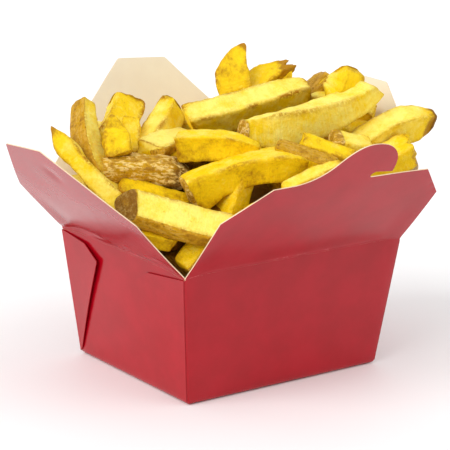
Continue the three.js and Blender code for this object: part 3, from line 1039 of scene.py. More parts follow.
@dataclass
class LidFlap:
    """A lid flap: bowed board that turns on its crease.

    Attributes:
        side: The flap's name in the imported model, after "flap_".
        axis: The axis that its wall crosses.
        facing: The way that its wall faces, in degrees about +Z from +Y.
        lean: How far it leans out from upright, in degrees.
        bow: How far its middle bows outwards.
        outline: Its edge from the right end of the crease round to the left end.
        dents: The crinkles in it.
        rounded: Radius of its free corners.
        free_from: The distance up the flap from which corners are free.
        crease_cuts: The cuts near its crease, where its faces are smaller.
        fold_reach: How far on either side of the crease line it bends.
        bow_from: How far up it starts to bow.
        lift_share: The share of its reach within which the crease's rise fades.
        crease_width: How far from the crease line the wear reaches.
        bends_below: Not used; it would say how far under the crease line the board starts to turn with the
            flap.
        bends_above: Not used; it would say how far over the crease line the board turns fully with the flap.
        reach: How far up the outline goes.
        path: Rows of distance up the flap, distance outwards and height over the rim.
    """

    shape: CartonShape
    board: Board
    side: str
    axis: int
    facing: float
    lean: float
    bow: float
    outline: list[Pair]
    dents: Sequence[Dent] = ()
    rounded: float = 0.0
    free_from: float = 20.0
    spacing: float = 2.0
    crease_cuts: tuple[float, ...] = (-0.5, -0.25, 0.0, 0.25, 0.5, 0.8, 1.2, 1.7, 2.4, 3.2)
    fold_reach: float = 0.8
    bow_from: float = 6.0
    trim: float = 0.3
    lift_share: float = 0.6
    unevenness: float = 0.25
    uneven_grain: float = 26.0
    uneven_from: float = 10.0
    crease_wear: float = 0.8
    crease_width: float = 0.5
    bends_below: float = 0.6
    bends_above: float = 2.2
    length: float = 0.0
    reach: float = 0.0
    path: Array = field(default_factory=lambda: np.zeros((0, 3)))

    def __post_init__(self) -> None:
        """Works out the profile from the wall over the crease and up the flap."""
        self.length = self.shape.rim[1 - self.axis]
        self.reach = max(up for _, up in self.outline)
        step = 0.1
        ups = np.arange(-self.shape.crease_gap, self.reach + 2 * step, step)
        wall = math.atan(self.shape.slope(self.axis))
        turned = smoothstep(-self.fold_reach, self.fold_reach, ups)
        rise = np.clip(ups / self.reach, 0.0, None)
        bend = 4 * self.bow / self.reach * (1 - 2 * rise) * smoothstep(0.0, self.bow_from, ups)
        angle = wall + (math.radians(self.lean) - wall) * turned + bend
        out = np.cumsum(np.sin(angle)) * step
        high = np.cumsum(np.cos(angle)) * step
        start_out = -self.shape.crease_gap * self.shape.slope(self.axis)
        self.path = np.column_stack([ups, out - out[0] + start_out, high - high[0] - self.shape.crease_gap])

    def settle(self, points: Array) -> Array:
        """Bends the flat outline's points over the crease and turns them to their wall.

        Args:
            points: Rows of distance along the crease, nothing, and distance up the flap.

        Returns:
            Rows of x, y and z.
        """
        along = points[:, 0] - self.length / 2
        up = points[:, 2]
        out = np.interp(up, self.path[:, 0], self.path[:, 1])
        high = np.interp(up, self.path[:, 0], self.path[:, 2])
        lift = self.shape.lift(along, self.length) * (1 - smoothstep(0.0, self.reach * self.lift_share, up))
        push = self.unevenness * smooth_noise(points, self.uneven_grain, 5 + self.axis)
        push = push * smoothstep(0.0, self.uneven_from, up)
        for dent in self.dents:
            push = push - dent.pressed(points[:, 0], up)
        lean = math.radians(self.lean)
        out = out + push * math.cos(lean)
        high = high - push * math.sin(lean) + lift
        turn = math.radians(self.facing)
        centre = self.shape.rim[self.axis] / 2
        x = along * math.cos(turn) - (centre + out) * math.sin(turn)
        y = along * math.sin(turn) + (centre + out) * math.cos(turn)
        return np.column_stack([x, y, self.shape.height + high])

    def build(self) -> bpy.types.Object:
        """Builds the flap and hides its solid.

        Returns:
            The piece, bent over its crease.
        """
        low = -self.shape.crease_gap
        foot = [(self.trim, low), (self.length - self.trim, low), (self.length - self.trim, 0.0)]
        bm = bmesh.new()
        ring = [*foot, *self.outline, (self.trim, 0.0)]
        bm.faces.new([bm.verts.new((along, 0, up)) for along, up in ring])
        if self.rounded:
            free = [vert for vert in bm.verts if vert.co.z > self.free_from]
            round_off(bm, free, self.rounded, "VERTICES")
        upper = evenly(self.crease_cuts[-1], self.reach, self.spacing)
        cut_through(bm, Vector((0, 0, 1)), [*self.crease_cuts, *upper])
        cut_through(bm, Vector((1, 0, 0)), evenly(0, self.length, self.spacing))
        split_large_faces(bm)
        flat = np.array([vert.co for vert in bm.verts])
        for vert, place in zip(bm.verts, self.settle(flat)):
            vert.co = place
        turn = math.radians(self.facing)
        outward = Vector((-math.sin(turn), math.cos(turn), 0))
        face_outwards(bm, lambda place: outward)
        worn = self.crease_wear * np.exp(-((flat[:, 2] / self.crease_width) ** 2))
        made = self.board.piece(f"lid_{self.side}", bm, worn)
        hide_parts(f"flap_{self.side}")
        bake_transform(made)
        LOG.info("flap %s", made.name)
        return made


def curve_points(start: Pair, first: Pair, second: Pair, end: Pair, steps: int = 12) -> list[Pair]:
    """Points along a Bezier curve, without its start.

    Args:
        start: Where it starts.
        first: Its first handle.
        second: Its second handle.
        end: Where it ends.
        steps: How many points it gives.

    Returns:
        The points.
    """
    knots = [Vector((x, y, 0)) for x, y in (start, first, second, end)]
    found = geometry.interpolate_bezier(*knots, steps + 1)
    return [(point.x, point.y) for point in found[1:]]


# The flaps' free edges, from the right end of the crease round to the left end: distance along the crease
# from the left end as drawn, and distance up the flap.
HOOKED_EDGE = [
    (128.1, 41.0), (108.5, 60.7), (96.5, 61.0),
    *curve_points((96.5, 61.0), (87.0, 62.3), (81.5, 66.4), (77.8, 71.9)),
    *curve_points((77.8, 71.9), (72.7, 79.1), (68.6, 82.2), (62.3, 82.2)),
    *curve_points((62.3, 82.2), (51.0, 82.2), (40.8, 74.0), (40.8, 60.6), 16),
    (51.4, 62.4),
    *curve_points((51.4, 62.4), (53.8, 61.4), (54.2, 60.3), (52.7, 58.9), 6),
    (17.0, 57.1), (0.1, 37.5),
]
LEFT_EDGE = [(100.3, 35.8), (73.3, 72.5), (39.4, 77.5), (-1.8, 40.6)]
RIGHT_EDGE = [(102.0, 36.0), (67.0, 71.0), (35.0, 71.0), (0.6, 36.0)]
BACK_EDGE = [(127.2, 27.5), (77.8, 76.6), (50.0, 78.6), (0.6, 27.5)]


# ---------------- fries


class End(Enum):
    """A fry's kinds of end: share of the section there, reach in mm, reach as a share, and roundness."""

    CUT = (0.9, 3.0, 0.0, 0.6)
    ROUND = (0.5, 0.0, 0.2, 0.5)
    TAPER = (0.35, 0.0, 0.4, 0.6)
    SPEAR = (0.05, 0.0, 0.26, 0.85)
    POINT = (0.12, 0.0, 0.55, 0.75)

    def keep(self, distance: Array, length: float) -> Array:
        """How thick the fry is near this end.

        Args:
            distance: Each point's distance from the end.
            length: The fry's length.

        Returns:
            The share of the full section at each point.
        """
        size, flat, share, power = self.value
        reach = flat + share * length
        return size + (1 - size) * np.clip(distance / reach, 0.0, 1.0) ** power


class Kind(Enum):
    """The kinds of fry, each one joined mesh."""

    CUT = "fries_cut"
    SKIN = "fries_skin_on"
    UNDER = "fries_under"


@dataclass(frozen=True)
class Fry:
    """One fry.

    Its section has four sides: "+a" and "-a" to the left and right of its length, "+b" above and "-b" below,
    all turned by its roll.

    Attributes:
        start: One end of its middle line.
        finish: The other end.
        wide: Width of its section.
        deep: Depth of its section.
        roll: Its roll about its own length in degrees.
        arch: How far its middle arches upwards.
        sway: How far its middle sways sideways.
        start_end: The shape of its first end.
        finish_end: The shape of its other end.
        tone: From 0, pale, over 1, deep gold, to 2, brown.
        twist: How much more it is rolled at its other end than at its first.
        profile: Share of its length, and the scale of its width and depth there.
        slants: How far the two end faces lean back for each millimetre across and above the middle.
        skin: The sides that still have skin.
        wrinkle: How wrinkled the skin is.
        flaky: How papery the skin is, from 0 to 1.
        skin_start: How far the skin wraps round its first end, in mm.
        skin_finish: How far it wraps round its other end.
        browned: How far its first and its other end are browned, in mm.
        ragged: How torn its other end is, in mm.
        ridged: Height of the ridges across it, in mm.
        scored: How strongly the knife's strokes show.
        rimmed: How brown its edges are.
    """

    start: Triple
    finish: Triple
    wide: float
    deep: float
    roll: float
    arch: float = 0.0
    sway: float = 0.0
    start_end: End = End.CUT
    finish_end: End = End.CUT
    tone: float = 0.5
    twist: float = 0.0
    profile: tuple[Triple, ...] = ()
    slants: tuple[float, ...] = ()
    skin: str = ""
    wrinkle: float = 0.3
    flaky: float = 0.2
    skin_start: float = 0.0
    skin_finish: float = 0.0
    browned: Pair = (0.0, 0.0)
    ragged: float = 0.0
    ridged: float = 0.0
    scored: float = 0.3
    rimmed: float = 0.7

    @property
    def kind(self) -> Kind:
        """Which joined mesh it goes into."""
        has_skin = bool(self.skin) or self.skin_start > 0 or self.skin_finish > 0
        return Kind.SKIN if has_skin else Kind.CUT

    def axes(self) -> tuple[Array, float, Array, Array]:
        """The fry's own directions before it is rolled.

        Returns:
            Its direction, its length, and its sideways and upward directions.
        """
        along = np.subtract(self.finish, self.start).astype(float)
        length = float(np.linalg.norm(along))
        along /= length
        sideways = np.cross(along, (0, 0, 1))
        sideways /= np.linalg.norm(sideways)
        return along, length, sideways, np.cross(sideways, along)

    def line(self, share: Array) -> Array:
        """Points on the middle line.

        Args:
            share: The shares of its length at which they lie.

        Returns:
            The points as rows.
        """
        along, length, sideways, upwards = self.axes()
        bend = (4 * share * (1 - share))[:, None]
        straight = np.array(self.start, float) + along * (length * share)[:, None]
        return straight + upwards * (self.arch * bend) + sideways * (self.sway * bend)

    def chain(self) -> tuple[Array, float]:
        """Nine points of the middle line and half the thinner side, for telling whether two fries meet."""
        return self.line(np.arange(9) / 8), min(self.wide, self.deep) / 2


CUT, ROUND, TAPER, SPEAR, POINT = End.CUT, End.ROUND, End.TAPER, End.SPEAR, End.POINT

# The fries that lie on top of the heap: along the left and front flaps, then the crown, then the back.
TOP_FRIES = [
    Fry((-75, -16, 92), (-88, 23, 122), 8, 8, -30, -2, 0, CUT, SPEAR, tone=0.35, rimmed=1.0,
        profile=((0, 1, 1), (0.6, 1, 1), (0.82, 1.6, 1.4), (1, 1.4, 1.3)), browned=(0, 15)),
    Fry((-81, -29, 95), (-41, -55, 82), 15, 11, -40, tone=0.05, skin="-a", skin_start=2.0,
        browned=(3, 0), slants=(-0.3, 0.55, 0, 0)),
    Fry((-74, -32, 82), (-61, -40, 78), 9, 8, -20, tone=1.1),
    Fry((-60, -45, 67), (-46, -43, 78), 10, 9, -20, tone=0.9, skin="-a", wrinkle=0.8, flaky=0.5),
    Fry((-71, -5, 90), (-63, 35, 128), 10, 12, -33, 0, -5, tone=0.15, skin="+a", wrinkle=0.25,
        slants=(0, 0, 0, 0), profile=((0, 1, 1), (0.6, 1, 1), (1, 0.8, 0.9))),
    Fry((-58, 24, 108), (-35, 39, 124), 16, 11, -36, 0, 2, tone=0.65, skin_finish=0.25, flaky=0.1,
        slants=(0, 0, 0.1, 0), rimmed=1.0),
    Fry((-65, 1, 110), (-60, 15, 126), 13, 7, 10, 0, 0, CUT, POINT, tone=1.15),
    Fry((-48, 16, 105), (-40, 27, 118), 9, 8, 0, tone=0.4),
    Fry((-43, 18, 104), (-16, 28, 123), 15, 12, 20, 0, 3, tone=0.6, skin_finish=0.2,
        slants=(0, 0, -0.45, -0.35), profile=((0, 1, 1), (0.6, 1, 1), (1, 0.75, 0.9)), rimmed=1.0),
    Fry((-47, 2, 110), (-19, 12, 112), 14, 8, -10, tone=0.05, skin="-a", wrinkle=0.4),
    Fry((-69, 5, 104), (-36, -15, 100), 13, 11, -14, 1, 0, CUT, ROUND, tone=0.75, skin="-a+b", wrinkle=1.8,
        flaky=1.0, browned=(0, 14)),
    Fry((-71, -6, 95), (-44, -24, 87), 11, 11, -20, tone=1.3),
    Fry((-41, -12, 114), (-14, -39, 114), 11, 13, -8, 1.5, 0, CUT, TAPER, tone=0.9, scored=0.1,
        slants=(0.05, 0, 0, 0)),
    Fry((-47, -29, 96), (3, -52, 109), 14, 13, -10, 5, 0, CUT, ROUND, tone=0.8, skin_start=1.3, wrinkle=0.6,
        flaky=0.9, profile=((0, 1.0, 1.45), (0.25, 1, 1.0), (0.6, 1, 0.95), (1, 1.1, 1.1)),
        slants=(0, 0.1, 0, 0)),
    Fry((-21, 7, 120), (42, -3, 130), 14, 14, -22, -1, 0, CUT, ROUND, tone=0.2, skin_finish=1.0, scored=0.5,
        slants=(0.1, -0.45, 0, 0), rimmed=1.0),
    Fry((-12, -22, 120), (58, -32, 136), 13, 16, -2, -6.5, 0, ROUND, CUT, tone=0.15, skin_start=1.2,
        scored=1.0, twist=-30, profile=((0, 1, 1), (0.6, 1, 1), (0.85, 0.95, 0.75), (1, 0.9, 0.5)),
        flaky=0.9, slants=(0, 0, 0.2, 0.5)),
    Fry((46, -19, 128), (52, -19, 142), 14, 12, 0, 0, 3, CUT, ROUND, tone=0.6, ridged=0.6, skin_finish=0.5),
    Fry((49, 8, 122), (61, 4, 132), 13, 10, 0, tone=0.9, skin="-a+b", wrinkle=0.8),
    Fry((12, 12, 127), (18, 17, 151.6), 17, 8, 0, 0, -4, CUT, POINT, tone=0.7, rimmed=1.0, browned=(0, 3)),
    Fry((15, 19, 125), (38, 8, 141), 15, 9, -20, 0, 0, CUT, TAPER, tone=0.9, ragged=5.0, browned=(0, 6)),
    Fry((47, -36, 106), (84.8, -45.7, 118.6), 14, 14, -20, 4, 0, CUT, ROUND, tone=0.3, skin_finish=1.6,
        browned=(0, 8), profile=((0, 1, 1), (0.7, 1.05, 1.05), (1, 0.9, 0.8)), slants=(0, 0, 0, -0.4)),
    Fry((36, -43, 93), (64, -56, 109), 15, 13, -20, tone=0.6, ragged=2.5),
    Fry((23, -45, 115), (39, -52, 111), 12, 11, -20, tone=0.4, skin_start=4.0, flaky=1.0),
    Fry((7, -43, 115), (24, -58, 108), 11, 10, -20, tone=1.0),
    Fry((-7, -42, 113), (12, -59, 106), 11, 11, -20, tone=0.7, skin="+b", wrinkle=0.6),
    Fry((-15, -59, 99), (12, -67, 111), 7, 6, -20, 0, 0, CUT, TAPER, tone=0.4, flaky=1.0),
    Fry((-31, -39, 83), (-23, -38, 104), 12, 11, 0, tone=0.6, scored=0.8),
    Fry((-29, -51, 87), (-8, -62, 97), 10, 10, -20, tone=1.2),
    Fry((48, -44, 79), (73, -60, 86), 9, 9, 0, 0, 0, CUT, ROUND, tone=0.9),
    Fry((6, 30, 92), (4, 56, 111), 14, 11, 15, 0, 0, CUT, ROUND, tone=0.3),
    Fry((18, 34, 94), (28, 57, 111), 13, 12, -20, 0, 3, tone=0.4, skin="+a"),
    Fry((36, 32, 98), (42, 60, 118), 15, 11, 30, 0, 0, CUT, TAPER),
    Fry((52, 28, 98), (61, 50, 118), 13, 12, 10, 0, 0, CUT, ROUND, tone=0.2),
    Fry((-14, 38, 106), (34, 40, 112), 14, 13, 25, 4, 0, ROUND, CUT, tone=0.4, skin_start=2.0),
    Fry((24, 24, 122), (66, 8, 120), 14, 12, 20, 3, 0, CUT, TAPER),
    Fry((60, -26, 106), (66, 22, 110), 13, 14, 10, 3, tone=0.35, skin="-a"),
    Fry((46, 6, 122), (72, -18, 116), 13, 12, -15, 2, 0, ROUND, CUT, tone=0.6),
    Fry((54, 34, 92), (70, 32, 116), 13, 11, 0, 0, -3, CUT, SPEAR),
    Fry((-20, 42, 96), (-46, 52, 108), 13, 11, 0, 0, 3, tone=0.3),
    Fry((-46, 40, 78), (-70, 36, 90), 12, 11, 10, 0, 0, CUT, TAPER, tone=0.55, skin="+a"),
    Fry((-2, 50, 98), (44, 53, 101), 13, 13, 20, 2, 0, CUT, ROUND, tone=0.45),
    Fry((-56, 46, 84), (-10, 52, 90), 13, 12, -20, 2, 0, ROUND, CUT, skin="+a", wrinkle=0.5),
    Fry((62, -8, 94), (62, 44, 92), 13, 12, 0, 2, tone=0.6),
    Fry((-62, 42, 74), (-34, 30, 92), 13, 12, 15, 2, 0, ROUND, CUT, tone=0.4),
    Fry((-66, 26, 80), (-44, 44, 90), 12, 12, -10, 2, 0, CUT, ROUND, tone=0.3),
    Fry((-12, 24, 108), (14, 14, 118), 13, 12, 20, 2, tone=0.35),
    Fry((-42, 46, 92), (-22, 26, 100), 13, 12, 15, 2, 0, CUT, ROUND),
    Fry((29, 6, 124), (36, 2, 139.5), 6, 5, 0, 0, 0, CUT, SPEAR, tone=0.9, rimmed=1.0),
]


@dataclass(frozen=True)
class Layer:
    """A layer of fries under the top ones.

    Attributes:
        depth: How far under the crown it is tried.
        tone: Its fries' tone; the deeper layers' higher tones are painted shade that darkens the hollows.
        foremost: How far forward it comes.
        slack: How far its fries may press into others.
    """

    depth: float
    tone: float
    foremost: float = -50.0
    slack: float = 1.2


@dataclass
class UnderFries:
    """The rule that lays fries between and under the top ones, the same as in the solids.

    The last layers lie in the solid's core, so that the hollows are filled with real fries.

    Attributes:
        lean: How far each flap leans out, by its side, in degrees.
        painted_depth_shade: Painted shade: how much deeper a fry's tone is for each step that it is let
            down.
        within: How far from the middle fries may be centred.
        sections: The ranges of a fry's width, depth, roll in degrees and arch.
        crown: Where the heap's crown is highest, and the height of its brim.
        crown_rise: How far it rises over its brim.
        crown_reach: How far from its highest place it ends.
        crown_power: How late it falls away.
        leaning: How much further a margin square to a leaning flap reaches.
        shortening: The share of its length by which a fry is shortened at a time, and how often.
    """

    shape: CartonShape
    lean: dict[str, float]
    # The deeper layers' higher tones are painted shade in the hollows between fries.
    layers: tuple[Layer, ...] = (
        Layer(4.0, 0.6, foremost=12.0), Layer(6.0, 1.1), Layer(9.0, 1.7), Layer(13.0, 2.2), Layer(18.0, 2.5),
        Layer(21.0, 2.6, slack=4.0), Layer(25.0, 2.7, slack=4.5), Layer(30.0, 2.7, slack=5.0),
        Layer(38.0, 2.7, slack=6.0),
    )
    painted_depth_shade: float = 0.15
    columns: int = 5
    rows: int = 4
    spacing: Pair = (15.0, 13.0)
    jitter: Pair = (5.0, 4.0)
    within: Pair = (62.0, 49.0)
    lengths: Pair = (40.0, 60.0)
    sections: tuple[Pair, ...] = ((11.0, 14.0), (10.0, 13.0), (-35.0, 35.0), (0.0, 5.0))
    crown: Triple = (14.0, 6.0, 74.0)
    crown_rise: float = 48.0
    crown_reach: Pair = (100.0, 75.0)
    crown_power: float = 2.6
    following: float = 0.8
    steepest: float = 0.6
    leaning: float = 1.2
    shortening: tuple[float, int] = (0.1, 10)
    shortest: float = 24.0
    step: float = 2.5
    steps: int = 9
    seed: int = 7

    def crown_at(self, x: Array | float, y: Array | float) -> Array | float:
        """Height of the heap's crown over a point."""
        fall_x = np.abs((x - self.crown[0]) / self.crown_reach[0]) ** self.crown_power
        fall_y = np.abs((y - self.crown[1]) / self.crown_reach[1]) ** self.crown_power
        return self.crown[2] + self.crown_rise * (1 - np.minimum(1.0, fall_x + fall_y))

    def room(self, z: float, margin: float) -> tuple[float, float, float, float]:
        """The space between walls and flaps at a height.

        Args:
            z: The height.
            margin: How far to keep clear of them.

        Returns:
            Where the space ends on the left, right, front and back.
        """
        low = min(z, self.shape.height)
        above = max(0.0, z - self.shape.height)
        wall_x, wall_y = self.shape.half(0, low), self.shape.half(1, low)
        leans = {side: above * math.tan(math.radians(angle)) for side, angle in self.lean.items()}
        return (
            -wall_x - leans["left"] + margin, wall_x + leans["right"] - margin,
            -wall_y - leans["front"] + margin, wall_y + leans["back"] - margin,
        )

    def has_room(self, point: Array, margin: float) -> bool:
        """Whether a point is clear of walls and flaps by a margin."""
        left, right, front, back = self.room(float(point[2]), margin * self.leaning)
        return left < point[0] < right and front < point[1] < back

    def drawn(self, draws: SeededDraws, x: float, y: float, layer: Layer) -> Fry:
        """A fry of drawn size and heading that follows the slope of the crown.

        Args:
            draws: The source of numbers.
            x: Its middle.
            y: Its middle.
            layer: The layer that it lies in.

        Returns:
            The fry.
        """
        heading = math.radians(draws.between(0, 180))
        half = draws.between(*self.lengths) / 2
        wide, deep, roll, arch = (draws.between(low, high) for low, high in self.sections)
        dx, dy = math.cos(heading) * half, math.sin(heading) * half
        slope = (self.crown_at(x + dx, y + dy) - self.crown_at(x - dx, y - dy)) / (2 * half)
        dz = max(-self.steepest, min(self.steepest, slope * self.following)) * half
        z = self.crown_at(x, y) - layer.depth
        start, finish = (x - dx, y - dy, z - dz), (x + dx, y + dy, z + dz)
        return Fry(start, finish, wide, deep, roll, arch, tone=layer.tone)

    def pulled_in(self, fry: Fry) -> Fry | None:
        """Pulls a fry's ends in until both are clear of walls and flaps.

        Args:
            fry: The fry.

        Returns:
            The shortened fry, or nothing where it gets too short.
        """
        margin = math.hypot(fry.wide, fry.deep) / 2
        start, finish = np.array(fry.start, float), np.array(fry.finish, float)
        share, tries = self.shortening
        for _ in range(tries):
            start_fits, finish_fits = self.has_room(start, margin), self.has_room(finish, margin)
            if start_fits and finish_fits:
                break
            if not start_fits:
                start = start + (finish - start) * share
            if not finish_fits:
                finish = finish + (start - finish) * share
        long_enough = np.linalg.norm(finish - start) >= self.shortest
        fits = self.has_room(start, margin) and self.has_room(finish, margin) and long_enough
        return replace(fry, start=tuple(start), finish=tuple(finish)) if fits else None

    @staticmethod
    def is_clear(fry: Fry, others: list[tuple[Array, float]], slack: float) -> bool:
        """Whether a fry keeps clear of every other.

        Args:
            fry: The fry.
            others: The other fries' points and half thicknesses.
            slack: How far it may press into them.

        Returns:
            Whether it does.
        """
        points, radius = fry.chain()
        for other, other_radius in others:
            apart = np.linalg.norm(points[:, None, :] - other[None, :, :], axis=2).min()
            if apart < radius + other_radius - slack:
                return False
        return True

    def settled(self, fry: Fry, others: list[tuple[Array, float]], slack: float) -> Fry | None:
        """Lets a fry down in small steps until it has room.

        Args:
            fry: The fry.
            others: The other fries' points and half thicknesses.
            slack: How far it may press into them.

        Returns:
            The fry where it has room, or nothing.
        """
        for turn in range(self.steps):
            down = np.array((0.0, 0.0, -self.step * turn))
            start, finish = tuple(fry.start + down), tuple(fry.finish + down)
            # Painted shade: each step down deepens the tone.
            tone = fry.tone + self.painted_depth_shade * turn
            lower = self.pulled_in(replace(fry, start=start, finish=finish, tone=tone))
            if lower and self.is_clear(lower, others, slack):
                return lower
        return None

    def build(self, top: list[Fry]) -> list[Fry]:
        """Lays the layers.

        Args:
            top: The fries that already lie there.

        Returns:
            The new fries.
        """
        draws = SeededDraws(self.seed)
        taken = [fry.chain() for fry in top]
        found: list[Fry] = []
        for layer in self.layers:
            for column in range(-self.columns, self.columns + 1):
                for row in range(-self.rows, self.rows + 1):
                    x = column * self.spacing[0] + draws.between(-self.jitter[0], self.jitter[0])
                    y = row * self.spacing[1] + draws.between(-self.jitter[1], self.jitter[1])
                    fry = self.drawn(draws, x, y, layer)
                    over = abs(x) <= self.within[0] and abs(y) <= self.within[1] and y >= layer.foremost
                    lower = self.settled(fry, taken, layer.slack) if over else None
                    if lower:
                        taken.append(lower.chain())
                        found.append(lower)
        return found


@dataclass
class FryTemplate:
    """A square bar cut into a fine grid, which each fry is shaped from.

    Attributes:
        lengths: Cuts along its length.
        sides: Cuts across each side.
        points: Its points, from -1 to 1 each way.
        quads: Each face's points.
    """

    lengths: int
    sides: int
    points: Array = field(default_factory=lambda: np.zeros((0, 3)))
    quads: Array = field(default_factory=lambda: np.zeros((0, 4), int))

    def __post_init__(self) -> None:
        """Builds the bar and keeps its points and faces."""
        bm = bmesh.new()
        bmesh.ops.create_cube(bm, size=2.0)
        for axis, cuts in ((0, self.lengths), (1, self.sides), (2, self.sides)):
            edges = [e for e in bm.edges if abs(e.verts[0].co[axis] - e.verts[1].co[axis]) > 1e-4]
            bmesh.ops.subdivide_edges(bm, edges=edges, cuts=cuts - 1, use_grid_fill=True)
        bm.verts.index_update()
        self.points = np.array([v.co for v in bm.verts])
        self.quads = np.array([[v.index for v in f.verts] for f in bm.faces])
        bm.free()


class Pattern(Enum):
    """The random patterns on a fry: the size of each one's grain, and its number among the seeds."""

    DIP = (14.0, 0)
    WARP = (11.0, 1)
    BLISTER = (3.4, 2)
    FINE_BLISTER = (1.6, 3)
    FOLD = (2.6, 4)
    FINE_FOLD = (1.2, 5)
    END_FACE = (2.4, 6)
    RIM = (6.0, 7)
    TONE = (11.0, 8)
    SKIN_BORDER = (4.0, 9)
    TEAR = (3.2, 10)
    RIDGE = (7.0, 11)
    FINE_TEAR = (1.5, 12)
    RISE = (20.0, 13)
    SWING = (20.0, 14)
    BROWNING = (3.0, 15)

    def at(self, points: Array, seed: int) -> Array:
        """The pattern's value at each point, from -1 to 1."""
        grain, number = self.value
        return smooth_noise(points, grain, seed + number)


@dataclass(frozen=True)
class Surface:
    """A fry's surface before the fry is bent.

    Attributes:
        place: Rows of distance along the fry and across its width and its depth.
        ends: Each point's distances from the two ends.
        out: The section's outward direction at each point.
        seed: Which random patterns it has.
    """

    place: Array
    ends: Sequence[Array]
    out: Sequence[Array]
    seed: int

    def noise(self, pattern: Pattern) -> Array:
        """A random pattern's value at each point."""
        return pattern.at(self.place, self.seed)

    def drawn_out(self, pattern: Pattern) -> Array:
        """The same for a pattern that follows the potato's fibres along the fry."""
        return pattern.at(self.place * np.array((0.3, 1.0, 1.0)), self.seed)


@dataclass
class FryForm:
    """Gives a fry its real surface: rounded edges, sunken faces, blisters, skin and torn ends.

    Attributes:
        squareness: How square its section is.
        skew: How much wider one side of its section may be than the other, as a share.
        sunk: How far its sides are sunk, give or take the unevenness.
        sunk_range: The steady share of that, and the share that varies.
        blister: Height of its blisters, and the fine ones' share of it.
        rim_range: The steady share of a rim's brownness, and the share that varies.
        painted_underside_shade: Painted shade: how much deeper the tone is on its undersides than on its
            tops.
        painted_shade_level: Which direction counts as neither upper nor under for that painted shade.
        skin_facing: How squarely a side must face outwards to have skin, where it begins and is whole.
        skin_unevenness: How uneven the skin's border is along a side and round an end.
        skin_wrap: The shares of its reach between which skin that wraps an end stops.
        shift: How far its material's pattern is shifted from the last fry's.
    """

    squareness: float = 9.0
    skew: float = 0.1
    thinning: float = 0.08
    sunk: float = 0.45
    sunk_range: Pair = (0.7, 0.6)
    warp: float = 0.6
    blister: Pair = (0.32, 0.55)
    skin_bulge: float = 0.8
    skin_folds: float = 0.6
    ridge_spacing: float = 4.6
    ridge_swing: float = 1.5
    slant: float = 0.3
    slant_reach: float = 4.0
    end_unevenness: float = 0.5
    end_bulge: float = 0.5
    torn_reach: float = 7.0
    bend: float = 0.7
    end_rim: float = 1.8
    end_rim_reach: float = 1.3
    end_rim_power: int = 10
    rim_range: Pair = (0.6, 0.6)
    # Painted shade: faces turned down get a deeper tone than faces turned up.
    painted_underside_shade: float = 0.4
    painted_shade_level: float = 0.75
    patchiness: float = 0.45
    end_tone: float = 0.35
    end_tone_reach: float = 3.0
    browning: float = 1.8
    browning_unevenness: float = 1.2
    skin_facing: Pair = (0.4, 0.85)
    skin_unevenness: Pair = (0.18, 0.35)
    skin_wrap: Pair = (0.6, 1.4)
    shift: Triple = (37.0, 11.0, 5.0)
    shifts: int = 23

    def shape(self, fry: Fry, template: FryTemplate, seed: int) -> dict[str, Array]:
        """Shapes one fry.

        Args:
            fry: The fry.
            template: The bar that it is made from.
            seed: Which pattern its surface gets.

        Returns:
            Its points and attributes, by name.
        """
        x = template.points[:, 0]
        along, a, b = (self._crowded(places) for places in template.points.T)
        share = 0.5 + 0.5 * along
        _, length, _, _ = fry.axes()
        chance = np.random.default_rng(seed).uniform(-1, 1, 8)
        largest = np.maximum(np.maximum(np.abs(a), np.abs(b)), 1e-6)
        corner = np.minimum(np.abs(a), np.abs(b)) / largest
        a, b, out = self._squared(a, b, largest)

        ends = (share * length, (1 - share) * length)
        keep = fry.start_end.keep(ends[0], length) * fry.finish_end.keep(ends[1], length)
        across, high = a * fry.wide / 2 * keep, b * fry.deep / 2 * keep
        if fry.profile:
            knots = np.array(fry.profile)
            across = across * np.interp(share, knots[:, 0], knots[:, 1])
            high = high * np.interp(share, knots[:, 0], knots[:, 2])
        across = across * (1 + self.skew * chance[0] * b + self.thinning * chance[1] * (2 * share - 1))
        high = high * (1 + self.skew * chance[2] * a + self.thinning * chance[3] * (2 * share - 1))

        surface = Surface(np.column_stack([share * length, across, high]), ends, out, seed)
        skin = self._skin(fry, surface)
        push = self._relief(fry, surface, skin, 1 - corner**2)
        push = push * np.clip(keep * 1.4, 0.2, 1.0) * smoothstep(0.3, 1.0, largest)
        across, high = across + push * out[0], high + push * out[1]
        slide = self._slide(fry, surface, (across, high), tuple(self.slant * chance[4:8]))
        slide += np.sign(x) * np.where(np.abs(x) > 0.999, (1 - largest**2) * self.end_bulge, 0.0)
        rim = smoothstep(0.55, 1.0, corner) * smoothstep(0.9, 1.0, largest)
        shift = np.array(self.shift) * (seed % self.shifts)
        return {
            "co": self._carried(fry, share, slide, (across, high), seed),
            "local": np.column_stack([share * length, across, high]) + shift,
            "skin": skin,
            "edge": self._edge(fry, surface, rim, largest),
            "tone": self._tone(fry, surface),
            "score": np.full(len(x), fry.scored),
            "flaky": np.full(len(x), fry.flaky),
        }

    @staticmethod
    def _crowded(places: Array) -> Array:
        """Draws even places from -1 to 1 closer together towards the two ends."""
        return 0.55 * places + 0.45 * np.sin(places * math.pi / 2)

    def _squared(self, a: Array, b: Array,
                 largest: Array) -> tuple[Array, Array, tuple[Array, Array]]:
        """Rounds the corners of a square section.

        Args:
            a: Places across its width, from -1 to 1.
            b: Places across its depth.
            largest: The larger of the two distances from the middle.

        Returns:
            The places with the corners rounded, and the outward directions there.
        """
        power = self.squareness
        rounded = largest * (np.abs(a) ** power + np.abs(b) ** power + 1e-12) ** (-1 / power)
        out_a = np.sign(a) * np.abs(a / largest) ** (power - 1)
        out_b = np.sign(b) * np.abs(b / largest) ** (power - 1)
        size = np.hypot(out_a, out_b) + 1e-9
        return a * rounded, b * rounded, (out_a / size, out_b / size)

